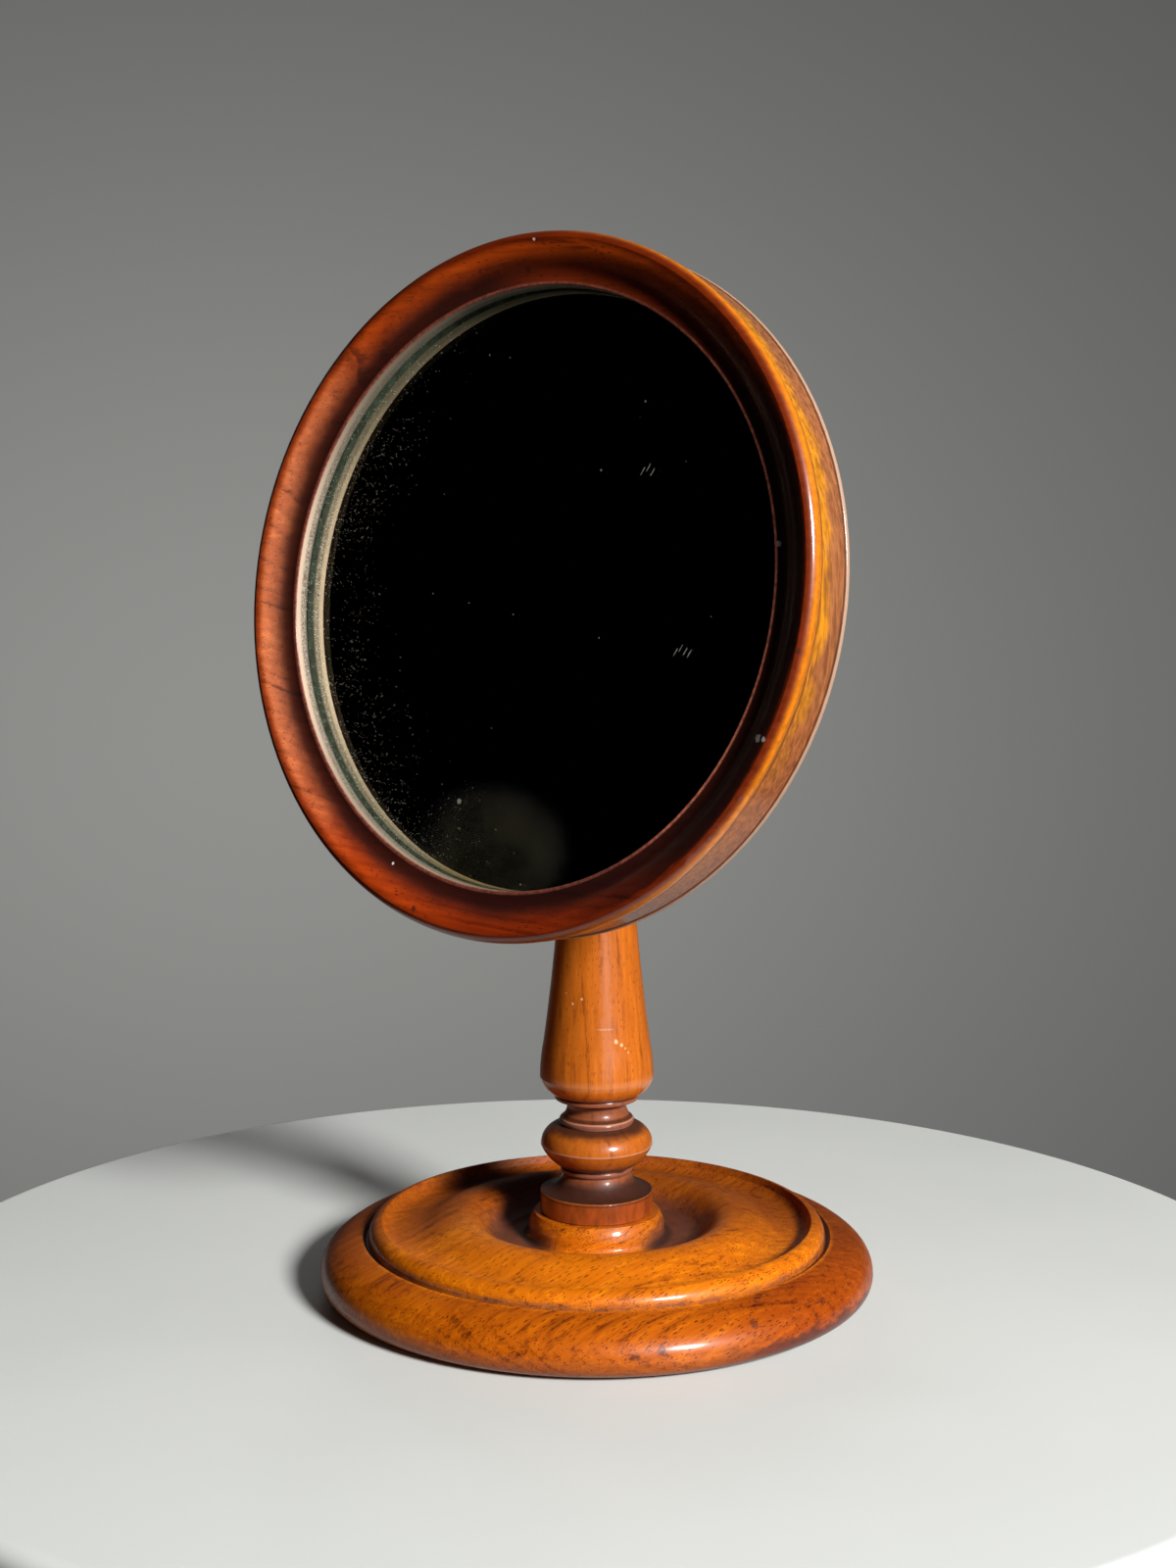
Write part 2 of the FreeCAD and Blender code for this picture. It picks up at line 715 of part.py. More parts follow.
def make_pivot_bolt():
    """The slotted bolt through the ears and the eye, along x."""
    head_face = -ear_outer - s.bolt_head_height
    tail = nut_end + s.bolt_tail
    crown_share = 0.45
    body = new_body("pivot_bolt")
    sketch = outline(new_sketch(body, "pivot_bolt_profile", "XY_Plane"), [
        (head_face, ZERO),
        (tail, ZERO),
        (tail, s.bolt_radius * HALF_SHARE),
        (tail - s.bolt_tail * HALF_SHARE, s.bolt_radius),
        (-ear_outer, s.bolt_radius),
        (-ear_outer, s.bolt_head_radius),
        (-ear_outer - s.bolt_head_height * crown_share, s.bolt_head_radius),
        (head_face, s.bolt_head_radius * HALF_SHARE, 40),
    ])
    turning(body, "pivot_bolt_turning", sketch, "H_Axis")
    slot = new_sketch(body, "bolt_slot_outline", "XY_Plane")
    reach = s.bolt_head_radius + s.overrun
    rectangle(slot, head_face - s.overrun, -reach, head_face + s.bolt_slot_depth, reach)
    pocket(body, "bolt_slot", slot, s.bolt_slot_width, midplane=True)
    return lean_back(body)


def axle_disc(label, start, end, radius):
    """A washer on the pivot bolt."""
    body = new_body(label)
    sketch = new_sketch(body, f"{label}_profile", "XY_Plane")
    rectangle(sketch, start, s.bolt_radius + s.fit_gap, end, radius)
    disc = turning(body, f"{label}_turning", sketch, "H_Axis")
    return lean_back(body), disc


def make_leather_washers():
    """The two leather washers that grip the eye."""
    body, disc = axle_disc("leather_washers", slot_half - s.leather_thickness, slot_half, s.leather_radius)
    pair = body.newObject("PartDesign::Mirrored", "leather_pair")
    pair.Originals = [disc]
    pair.MirrorPlane = (plane(body, "YZ_Plane"), [""])
    body.Tip = pair
    return body


def make_thumb_nut():
    """The fluted thumb nut that tightens the joint."""
    hub_end = nut_start + s.nut_hub_height
    bore = s.bolt_radius + s.turning_gap
    body = new_body("thumb_nut")
    sketch = outline(new_sketch(body, "thumb_nut_profile", "XY_Plane"), [
        (nut_start, bore),
        (nut_end, bore),
        (nut_end, s.nut_rim_radius - s.nut_rim_edge),
        (nut_end - s.nut_rim_edge, s.nut_rim_radius, 80),
        (hub_end + s.nut_rim_edge, s.nut_rim_radius),
        (hub_end, s.nut_rim_radius - s.nut_rim_edge, 80),
        (hub_end, s.nut_hub_radius),
        (nut_start, s.nut_hub_radius),
    ])
    turning(body, "thumb_nut_turning", sketch, "H_Axis")
    flute_outline = new_sketch(body, "flute_outline", "YZ_Plane", nut_end + s.overrun)
    circle(flute_outline, ZERO, s.nut_rim_radius + s.nut_flute_radius * HALF_SHARE, s.nut_flute_radius)
    flute = pocket(body, "flute", flute_outline, s.nut_rim_width + s.overrun)
    doc.recompute()
    ring_of(body, "flute_ring", [flute], flute_outline, "N_Axis", NUT_FLUTE_COUNT)
    return lean_back(body)


# Places along the pivot bolt, outside the ears
nut_start = ear_outer + s.nut_washer_thickness
nut_end = nut_start + s.nut_hub_height + s.nut_rim_width

# The two rings of screws, each as place, face, radius, head radius, head depth and length
board_screw_kind = (board_screw_circle, back_face, s.board_screw_radius,
                    s.board_screw_head_radius, s.board_screw_head_depth, s.board_screw_length)
bracket_face = back_face + s.bracket_plate_thickness
bracket_screw_circle = (s.ear_root_height * HALF_SHARE + s.bracket_plate_radius) * HALF_SHARE
bracket_screw_kind = (bracket_screw_circle, bracket_face, s.bracket_screw_radius,
                      s.bracket_screw_head_radius, s.bracket_screw_head_depth, s.bracket_screw_length)

frame_ring = make_frame_ring()
back_board = make_back_board()
pivot_bracket = make_pivot_bracket()
bore_for_screws(frame_ring, "frame_screw_holes", board_screw_kind, BOARD_SCREW_COUNT)
bore_for_screws(back_board, "board_screw_holes", board_screw_kind, BOARD_SCREW_COUNT)
bore_for_screws(back_board, "board_bracket_holes", bracket_screw_kind, BRACKET_SCREW_COUNT)
bore_for_screws(pivot_bracket, "bracket_screw_holes", bracket_screw_kind, BRACKET_SCREW_COUNT)

pieces = [
    make_base(),
    make_baize_pad(),
    make_column(),
    make_column_screw(),
    make_plate_washer(),
    make_ferrule(),
    make_pivot_eye(),
    frame_ring,
    make_mirror_glass(),
    make_disc("silvered_coat", glass_radius - s.glass_arris, silvering_front, packing_front),
    make_disc("packing_sheet", glass_radius - s.glass_arris, packing_front, plug_front),
    back_board,
    make_screws("back_board_screws", board_screw_kind, s.board_screw_slot, BOARD_SCREW_COUNT),
    pivot_bracket,
    make_screws("bracket_screws", bracket_screw_kind, s.bracket_screw_slot, BRACKET_SCREW_COUNT),
    make_pivot_bolt(),
    make_leather_washers(),
    axle_disc("nut_washer", ear_outer, nut_start, s.nut_washer_radius)[0],
    make_thumb_nut(),
]
doc.recompute()

for item in doc.Objects:
    if "Invalid" in item.State or "Error" in item.State:
        raise RuntimeError(f"{item.Label} did not build")
os.makedirs("parts", exist_ok=True)
for piece in pieces:
    if piece.Shape.isNull() or not piece.Shape.isValid():
        raise RuntimeError(f"{piece.Label} has no sound shape")
    piece.Shape.exportStep(f"parts/{piece.Label}.step")
    print(piece.Label, len(piece.Shape.Solids), round(piece.Shape.Volume, 1))
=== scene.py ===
import json
import math
import random

import bpy
from mathutils import Matrix, Vector


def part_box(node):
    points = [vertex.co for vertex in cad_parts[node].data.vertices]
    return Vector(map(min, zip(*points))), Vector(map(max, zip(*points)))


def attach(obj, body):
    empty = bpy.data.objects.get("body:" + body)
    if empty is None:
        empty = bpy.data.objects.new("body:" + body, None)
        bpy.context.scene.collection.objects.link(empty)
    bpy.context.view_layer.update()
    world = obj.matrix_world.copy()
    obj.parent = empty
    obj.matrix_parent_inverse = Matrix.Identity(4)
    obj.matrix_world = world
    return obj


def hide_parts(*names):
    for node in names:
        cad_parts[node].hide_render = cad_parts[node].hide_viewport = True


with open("model.json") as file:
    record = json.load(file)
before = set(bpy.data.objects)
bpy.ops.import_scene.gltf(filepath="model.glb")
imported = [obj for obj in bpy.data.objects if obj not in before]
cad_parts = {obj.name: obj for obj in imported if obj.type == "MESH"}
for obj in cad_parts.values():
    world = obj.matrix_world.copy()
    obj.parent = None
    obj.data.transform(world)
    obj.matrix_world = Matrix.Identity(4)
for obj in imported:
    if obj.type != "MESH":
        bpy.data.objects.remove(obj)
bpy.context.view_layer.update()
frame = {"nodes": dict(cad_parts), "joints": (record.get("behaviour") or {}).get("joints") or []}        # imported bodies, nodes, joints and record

nodes = frame["nodes"]
scene = bpy.context.scene
tiltJoint = next(joint for joint in frame["joints"] if joint["name"] == "mirror_tilt")

head = {
    "pivot": Vector(tiltJoint["pos_m"]),
    "lean": 9.0,         # degrees back from upright at rest
}
toHead = Matrix.Rotation(math.radians(head["lean"]), 4, "X") @ Matrix.Translation(-head["pivot"])
fromHead = toHead.inverted()
mmPerMetre = 1000.0
untinted = (1.0, 1.0, 1.0)
print("frame loaded:", len(nodes), "nodes")


# Small helpers for shader nodes

def put(kind, feeds=None, tree=None, **settings):
    # a new node, in the tree of the sockets that feed it where none is named
    if tree is None:
        tree = next(value.id_data for value in feeds.values() if isinstance(value, bpy.types.NodeSocket))
    node = tree.nodes.new("ShaderNode" + kind)
    for key, value in settings.items():
        setattr(node, key, value)
    for key, value in (feeds or {}).items():
        feed(node.inputs[key], value)
    return node


def feed(socket, value):
    if isinstance(value, bpy.types.NodeSocket):
        socket.id_data.links.new(value, socket)
    else:
        socket.default_value = value


def calc(operation, *values, clamp=False):
    return put("Math", dict(enumerate(values)), operation=operation, use_clamp=clamp).outputs[0]


def both(mask, *others):
    # several masks or shares multiplied together
    for other in others:
        mask = calc("MULTIPLY", mask, other)
    return mask


def without(mask):
    return calc("SUBTRACT", 1.0, mask)


def centred(noise):
    return calc("SUBTRACT", noise, 0.5)


def shifted(ragged, amount, value):
    # a place moved to and fro, so that what follows it has a ragged edge
    return calc("MULTIPLY_ADD", ragged, amount, value)


def vectorCalc(operation, *values):
    node = put("VectorMath", dict(enumerate(values)), operation=operation)
    return node.outputs["Value" if operation in ("LENGTH", "DOT_PRODUCT") else "Vector"]


def scaled(vector, share):
    return put("VectorMath", {0: vector, "Scale": share}, operation="SCALE").outputs[0]


def fade(value, start, end, low=0.0, high=1.0):
    feeds = {"Value": value, "From Min": start, "From Max": end, "To Min": low, "To Max": high}
    return put("MapRange", feeds, interpolation_type="SMOOTHSTEP").outputs[0]


def band(value, start, full, fullEnd, end):
    return both(fade(value, start, full), fade(value, end, fullEnd))


def mixColour(mask, under, over):
    under, over = [tint if isinstance(tint, bpy.types.NodeSocket) else (*tint, 1.0) for tint in (under, over)]
    return put("Mix", {0: mask, 6: under, 7: over}, data_type="RGBA").outputs[2]


def mixValue(mask, under, over):
    return put("Mix", {0: mask, 2: under, 3: over}, data_type="FLOAT").outputs[0]


def noiseAt(place, stretch, detail=2.0, roughness=0.5):
    spot = vectorCalc("MULTIPLY", place, stretch if isinstance(stretch, tuple) else (stretch,) * 3)
    feeds = {"Vector": spot, "Scale": 1.0, "Detail": detail, "Roughness": roughness}
    return put("TexNoise", feeds).outputs["Fac"]


def newGroup(name, inputs, outputs):
    group = bpy.data.node_groups.new(name, "ShaderNodeTree")
    for label, kind, value in inputs:
        socket = group.interface.new_socket(label, in_out="INPUT", socket_type="NodeSocket" + kind)
        socket.default_value = value
    for label, kind in outputs:
        group.interface.new_socket(label, in_out="OUTPUT", socket_type="NodeSocket" + kind)
    given = group.nodes.new("NodeGroupInput").outputs
    made = group.nodes.new("NodeGroupOutput").inputs
    return group, given, made


def useGroup(group, feeds):
    return put("Group", feeds, node_tree=group).outputs


def maskFrom(group, place, values):
    return useGroup(group, {"Place": place, **values})["Mask"]


def newMaterial(name):
    # the material, the inputs of its skin and the place of each point in millimetres
    material = bpy.data.materials.new(name)
    material.use_nodes = True
    tree = material.node_tree
    tree.nodes.clear()
    skin = put("BsdfPrincipled", tree=tree)
    put("OutputMaterial", {"Surface": skin.outputs["BSDF"]})
    spot = put("TexCoord", tree=tree).outputs["Object"]
    return material, skin.inputs, vectorCalc("MULTIPLY", spot, (mmPerMetre,) * 3)


def addBump(skin, height, strength, distance):
    bump = put("Bump", {"Height": height, "Strength": strength, "Distance": distance})
    feed(skin["Normal"], bump.outputs[0])


def dress(nodeName, material):
    piece = nodes[nodeName]
    for slot in piece.material_slots:
        slot.material = material
    if not piece.material_slots:
        piece.data.materials.append(material)


# Shared effects
# a noise is its stretch, detail and roughness; a span is where a fade starts and ends, then its low and high

placeInput = ("Place", "Vector", (0, 0, 0))

grainShape = {
    "swayNoise": ((0.006, 0.014, 0.014), 2.0), "sway": 14.0,           # slow wander of the rings, mm
    "rippleNoise": ((0.03, 0.10, 0.10), 3.0), "ripple": 2.2,
    "lateWood": (0.4, 0.86, 0.9, 1.0), "palestYear": 0.2,
    "fibreNoise": ((0.02, 0.45, 0.45), 5.0, 0.75), "fibreRelief": 0.25,
    "broadNoise": ((0.011, 0.05, 0.05), 2.0), "middleTone": 0.62, "halfTone": 0.5,
    "poreRows": ((0.03, 0.35, 0.35), 2.0), "rowSpan": (0.38, 0.62, 0.1, 1.0),
    "poreSpan": (0.42, 0.2), "poreTint": (0.55, 0.5, 0.5), "poreCover": 0.9,
    "bumpDistance": 0.0002,
}


def makeSawnGrain():
    # growth rings round a pith that lies along X, fibres and short dark pores, all in millimetres
    group, given, made = newGroup("sawnGrain", [
        placeInput, ("Pale", "Color", (0.8, 0.3, 0.05, 1)),
        ("Middle", "Color", (0.6, 0.2, 0.02, 1)), ("Deep", "Color", (0.2, 0.05, 0.01, 1)),
        ("Ring Width", "Float", 4.0), ("Ring Depth", "Float", 0.4), ("Streaks", "Float", 0.8),
        ("Mottle", "Float", 0.6), ("Pore Length", "Float", 2.6), ("Pore Width", "Float", 0.5),
        ("Pore Share", "Float", 0.4),
    ], [("Colour", "Color"), ("Relief", "Float")])
    shape, place = grainShape, given["Place"]
    along, across, depth = put("SeparateXYZ", {0: place}).outputs
    radius = vectorCalc("LENGTH", put("CombineXYZ", {1: across, 2: depth}).outputs[0])
    radius = shifted(noiseAt(place, *shape["swayNoise"]), shape["sway"], radius)
    radius = shifted(noiseAt(place, *shape["rippleNoise"]), shape["ripple"], radius)
    turns = calc("DIVIDE", radius, given["Ring Width"])
    count = calc("FLOOR", turns)
    lot = put("TexWhiteNoise", {"W": count}, noise_dimensions="1D").outputs["Value"]
    year = calc("MULTIPLY_ADD", lot, 1.0 - shape["palestYear"], shape["palestYear"])
    late = both(band(calc("FRACT", turns), *shape["lateWood"]), year)
    fibre = noiseAt(place, *shape["fibreNoise"])
    broad = noiseAt(place, *shape["broadNoise"])
    tone = shifted(centred(broad), given["Mottle"], shape["middleTone"])
    tone = shifted(centred(fibre), given["Streaks"], tone)
    tone = calc("SUBTRACT", tone, both(late, given["Ring Depth"]), clamp=True)
    colour = mixColour(fade(tone, 0.0, shape["halfTone"]), given["Deep"], given["Middle"])
    colour = mixColour(fade(tone, shape["halfTone"], 1.0), colour, given["Pale"])
    cell = put("CombineXYZ", {
        0: calc("DIVIDE", along, given["Pore Length"]),
        1: calc("DIVIDE", across, given["Pore Width"]),
        2: calc("DIVIDE", depth, given["Pore Width"]),
    }).outputs[0]
    holes = put("TexVoronoi", {"Vector": cell, "Scale": 1.0, "Randomness": 1.0}).outputs
    holeLot = put("SeparateColor", {0: holes["Color"]}).outputs[0]
    rows = noiseAt(place, *shape["poreRows"])
    share = both(given["Pore Share"], fade(rows, *shape["rowSpan"]))
    chosen = calc("LESS_THAN", holeLot, share)
    pores = both(chosen, fade(holes["Distance"], *shape["poreSpan"]))
    dark = vectorCalc("MULTIPLY", given["Deep"], shape["poreTint"])
    feed(made["Colour"], mixColour(both(pores, shape["poreCover"]), colour, dark))
    relief = calc("SUBTRACT", both(fibre, shape["fibreRelief"]), pores)
    feed(made["Relief"], relief)
    return group


waxShape = {"patchNoise": (0.25, 3.0), "patchy": 0.25, "samples": 8}


def makeRecessWax():
    # old wax and dirt that gathers where the surface is hollow
    group, given, made = newGroup("recessWax", [
        placeInput, ("Reach", "Float", 0.005), ("Start", "Float", 0.2), ("Full", "Float", 0.6),
    ], [("Mask", "Float")])
    hollow = put("AmbientOcclusion", {"Distance": given["Reach"]}, samples=waxShape["samples"],
                 only_local=True)
    patches = centred(noiseAt(given["Place"], *waxShape["patchNoise"]))
    shade = shifted(patches, waxShape["patchy"], without(hollow.outputs["AO"]))
    feed(made["Mask"], fade(shade, given["Start"], given["Full"]))
    return group


def makeTurnedPlace():
    # where a point lies on the turned stand: millimetres, and degrees round from the front
    group, given, made = newGroup("turnedPlace", [placeInput], [
        ("Radius", "Float"), ("Height", "Float"), ("Bearing", "Float"),
    ])
    across, back, height = put("SeparateXYZ", {0: given["Place"]}).outputs
    flat = put("CombineXYZ", {0: across, 1: back}).outputs[0]
    feed(made["Radius"], vectorCalc("LENGTH", flat))
    feed(made["Height"], height)
    turn = calc("ARCTAN2", across, calc("MULTIPLY", back, -1.0))
    feed(made["Bearing"], calc("DEGREES", turn))
    return group


def makeHeadPlace():
    # where a point lies on the tilting head: radius from its middle, depth in front of the pivot, millimetres
    group, given, made = newGroup("headPlace", [placeInput], [
        ("Across", "Float"), ("Depth", "Float"), ("Up", "Float"), ("Radius", "Float"),
    ])
    centre = tuple(head["pivot"] * mmPerMetre)
    upright = put("VectorRotate", {
        "Vector": given["Place"], "Center": centre, "Angle": math.radians(head["lean"]),
    }, rotation_type="X_AXIS").outputs[0]
    local = vectorCalc("SUBTRACT", upright, centre)
    across, back, up = put("SeparateXYZ", {0: local}).outputs
    flat = put("CombineXYZ", {0: across, 2: up}).outputs[0]
    feed(made["Across"], across)
    feed(made["Depth"], calc("MULTIPLY", back, -1.0))
    feed(made["Up"], up)
    feed(made["Radius"], vectorCalc("LENGTH", flat))
    return group


smallestSpeck = 0.2      # share of the full size


def makeSpecks():
    # loose scatter of small round spots
    group, given, made = newGroup("specks", [
        placeInput, ("Spacing", "Float", 3.0), ("Share", "Float", 0.1), ("Size", "Float", 0.2),
    ], [("Mask", "Float")])
    cell = scaled(given["Place"], calc("DIVIDE", 1.0, given["Spacing"]))
    spots = put("TexVoronoi", {"Vector": cell, "Scale": 1.0, "Randomness": 1.0}).outputs
    lot, size, _ = put("SeparateColor", {0: spots["Color"]}).outputs
    size = calc("MULTIPLY_ADD", size, 1.0 - smallestSpeck, smallestSpeck)
    inside = calc("LESS_THAN", spots["Distance"], both(given["Size"], size))
    feed(made["Mask"], both(inside, calc("LESS_THAN", lot, given["Share"])))
    return group


blotShape = {"ragNoise": (1.1, 3.0), "edge": (1.0, 0.55)}


def makeBlot():
    # one small ragged mark at a known place, millimetres
    group, given, made = newGroup("blot", [
        placeInput, ("Centre", "Vector", (0, 0, 0)), ("Stretch", "Vector", (1, 1, 1)), ("Size", "Float", 2.0),
    ], [("Mask", "Float")])
    ragged = centred(noiseAt(given["Place"], *blotShape["ragNoise"]))
    away = vectorCalc("SUBTRACT", given["Place"], given["Centre"])
    away = vectorCalc("LENGTH", vectorCalc("MULTIPLY", away, given["Stretch"]))
    away = calc("ADD", calc("DIVIDE", away, given["Size"]), ragged)
    feed(made["Mask"], fade(away, *blotShape["edge"]))
    return group


sawnGrain = makeSawnGrain()
recessWax = makeRecessWax()
turnedPlace = makeTurnedPlace()
headPlace = makeHeadPlace()
specks = makeSpecks()
blot = makeBlot()


def marksMask(place, marks):
    whole = 0.0
    for centre, size in marks:
        mask = maskFrom(blot, place, {"Centre": centre, "Size": size})
        whole = calc("MAXIMUM", whole, mask)
    return whole


variedShape = {"detail": 4.0, "roughness": 0.62, "span": (0.3, 0.7)}


def varied(place, tint, stretch, low=0.72, high=1.12):
    # a tint that is a little darker and paler from spot to spot
    noise = noiseAt(place, stretch, variedShape["detail"], variedShape["roughness"])
    return scaled(tint, fade(noise, *variedShape["span"], low, high))


# multiplies a tint in where the mask is white: a stain in the wood, or painted shade
def stainedOrShaded(wood, mask, tinting):
    return vectorCalc("MULTIPLY", wood, mixColour(mask, untinted, tinting))


# Polished wood: a sawn blank, then coats that cover it where their masks are white

def woodMaterial(name, look, layers):
    material, skin, place = newMaterial(name)
    turn = [math.radians(angle) for angle in look["grainTurn"]]
    blank = {"Vector": place, "Location": look["pith"], "Rotation": turn}
    sawn = put("Mapping", blank, vector_type="TEXTURE").outputs[0]
    grain = useGroup(sawnGrain, {"Place": sawn, **look["grain"]})
    colour, rough, gloss, coats = layers(place, look, grain["Colour"])
    for mask, tint, dullness, polish in coats:
        colour = mixColour(mask, colour, tint)
        rough = mixValue(mask, rough, dullness)
        gloss = mixValue(mask, gloss, polish)
    feed(skin["Base Color"], colour)
    feed(skin["Roughness"], rough)
    feed(skin["Coat Weight"], gloss)
    skin["Coat Roughness"].default_value = look["polishRoughness"]
    skin["Specular IOR Level"].default_value = look["shine"]
    addBump(skin, grain["Relief"], look["relief"], grainShape["bumpDistance"])
    return material


def measures(spans):
    # a look's fades and bands, called by the names of their spans
    def lies(name, value):
        return fade(value, *spans[name])

    def within(name, value):
        return band(value, *spans[name])

    return lies, within


def layCoats(look, masks, tints):
    # each coat of a look with its mask; a tint that isn't in tints is the look's own
    layers = []
    for name, share, tint, dullness, polish in look["coats"]:
        colour = tints[tint] if tint in tints else look[tint]
        layers.append((both(masks[name], share), colour, dullness, polish))
    return layers


baseWood = {
    "grain": {
        "Pale": (0.92, 0.256, 0.003, 1), "Middle": (0.67, 0.154, 0.002, 1), "Deep": (0.17, 0.028, 0.001, 1),
        "Ring Width": 2.6, "Ring Depth": 0.29, "Streaks": 1.9, "Mottle": 0.8,
        "Pore Length": 3.2, "Pore Width": 0.48, "Pore Share": 0.8,
    },
    "pith": (12.0, 0.0, -29.0), "grainTurn": (0.0, -16.7, 74.0),
    "roughness": 0.4, "farRoughness": 0.6, "polishRoughness": 0.13, "relief": 0.16, "shine": 0.25,
    "polish": 0.45, "mouldingPolish": 0.22, "farPolish": 0.0,
    "wax": (0.022, 0.009, 0.009), "wellWax": (0.075, 0.030, 0.026), "foot": (0.09, 0.014, 0.005),
    # painted shade: the moulding's right side darker, the column's shadow across the dish, and the side
    # turned away from the view darker
    "moulding": (0.72, 0.62, 0.6), "sideShade": (0.50, 0.34, 0.4), "lee": (0.26, 0.21, 0.25),
    "farShade": (0.45, 0.39, 0.7), "quirk": (0.075, 0.042, 0.046), "arris": (0.80, 0.36, 0.22),
    "dent": (0.10, 0.02, 0.006), "scuff": (0.05, 0.012, 0.006),
    "dents": [((30.0, -77.0, 24.0), 1.6), ((54.1, -2.2, 21.0), 1.5), ((18.4, -37.3, 19.8), 1.3),
              ((84.5, -41.0, 21.5), 2.6), ((88.0, -33.0, 14.0), 2.0)],
    "viewWay": (0.605, -0.796, 0.0), "viewBearing": 37.0,
    "ragNoise": ((0.13, 0.13, 0.3), 5.0, 0.65), "ragLevel": 10.0, "ragReach": 0.8, "ragWide": 7.0,
    "ragFar": 30.0, "scuffNoise": ((0.16, 0.16, 0.45), 5.0, 0.75), "footShares": (0.25, 0.9),
    "footStretch": (0.3, 0.3, 0.5), "quirkStretch": 0.3,
    # millimetres, or degrees round from the front
    "spans": {
        "foot": (9.0, 6.0), "side": (52.0, 80.0, 112.0, 140.0), "moulding": (82.0, 84.0),
        "quirk": (79.9, 80.5, 81.9, 82.4), "arris": (82.1, 82.4, 82.7, 83.1), "arrisHeight": (24.0, 25.0),
        "wellReach": (44.0, 34.0), "wellHeight": (26.0, 21.0), "turned": (25.0, 60.0),
        "creaseReach": (28.0, 25.2), "creaseHeight": (20.6, 18.4), "far": (42.0, -18.0),
        "columnShadowBearing": (-130.0, -117.0, -97.0, -84.0), "columnShadowReach": (22.0, 28.0, 70.0, 79.0),
        "scuffGrain": (0.56, 0.63), "scuffHeight": (10.0, 13.0, 17.0, 20.0),
        "scuffBearing": (58.0, 72.0, 100.0, 112.0),
    },
    # mask, share, tint, roughness and polish, from the wood outward
    "coats": [
        ("foot", 1.0, "foot", 0.5, 0.4), ("well", 0.75, "wellWax", 0.5, 0.6),
        ("crease", 0.85, "wax", 0.5, 0.5), ("quirk", 0.85, "quirk", 0.45, 0.6),
        ("arris", 0.5, "arris", 0.4, 0.7), ("scuffs", 0.7, "scuff", 0.55, 0.1),
        ("dents", 0.7, "dent", 0.5, 0.4),
    ],
}


def baseLayers(place, look, sawn):
    spot = useGroup(turnedPlace, {"Place": place})
    radius, height, bearing = spot["Radius"], spot["Height"], spot["Bearing"]
    lies, within = measures(look["spans"])
    ragged = centred(noiseAt(place, *look["ragNoise"]))
    level = shifted(ragged, look["ragLevel"], height)
    reach = shifted(ragged, look["ragReach"], radius)
    wide = shifted(ragged, look["ragWide"], radius)
    away = shifted(ragged, look["ragFar"], vectorCalc("DOT_PRODUCT", place, look["viewWay"]))
    fromView = calc("ABSOLUTE", calc("SUBTRACT", bearing, look["viewBearing"]))
    side = within("side", bearing)
    # the side turned away from the view: painted shade, and a duller finish
    far = lies("far", away)
    moulding = lies("moulding", reach)
    turned = lies("turned", fromView)
    # where the column's shadow falls across the dish: a painted shadow
    lee = both(within("columnShadowBearing", bearing), within("columnShadowReach", wide))
    scuffs = lies("scuffGrain", noiseAt(place, *look["scuffNoise"]))
    scuffs = both(scuffs, within("scuffHeight", level), within("scuffBearing", bearing))
    crease = both(lies("creaseReach", reach), lies("creaseHeight", height))
    well = both(lies("wellReach", wide), lies("wellHeight", level))
    masks = {
        "foot": both(lies("foot", level), mixValue(side, *look["footShares"])),
        "well": both(well, turned),
        "crease": both(crease, turned),
        "quirk": within("quirk", reach),
        "arris": both(within("arris", reach), lies("arrisHeight", height)),
        "scuffs": scuffs,
        "dents": marksMask(place, look["dents"]),
    }
    tints = {
        "foot": varied(place, look["foot"], look["footStretch"]),
        "quirk": varied(place, look["quirk"], look["quirkStretch"]),
    }
    # painted shade: away from the view, where the column's shadow falls, and on the moulding's right side
    wood = stainedOrShaded(sawn, far, look["farShade"])
    wood = stainedOrShaded(wood, lee, look["lee"])
    # the moulding's own tint, darker on its right side as painted shade
    wood = stainedOrShaded(wood, moulding, mixColour(side, look["moulding"], look["sideShade"]))
    rough = mixValue(far, look["roughness"], look["farRoughness"])
    polish = mixValue(moulding, look["polish"], look["mouldingPolish"])
    polish = mixValue(far, polish, look["farPolish"])
    return wood, rough, polish, layCoats(look, masks, tints)


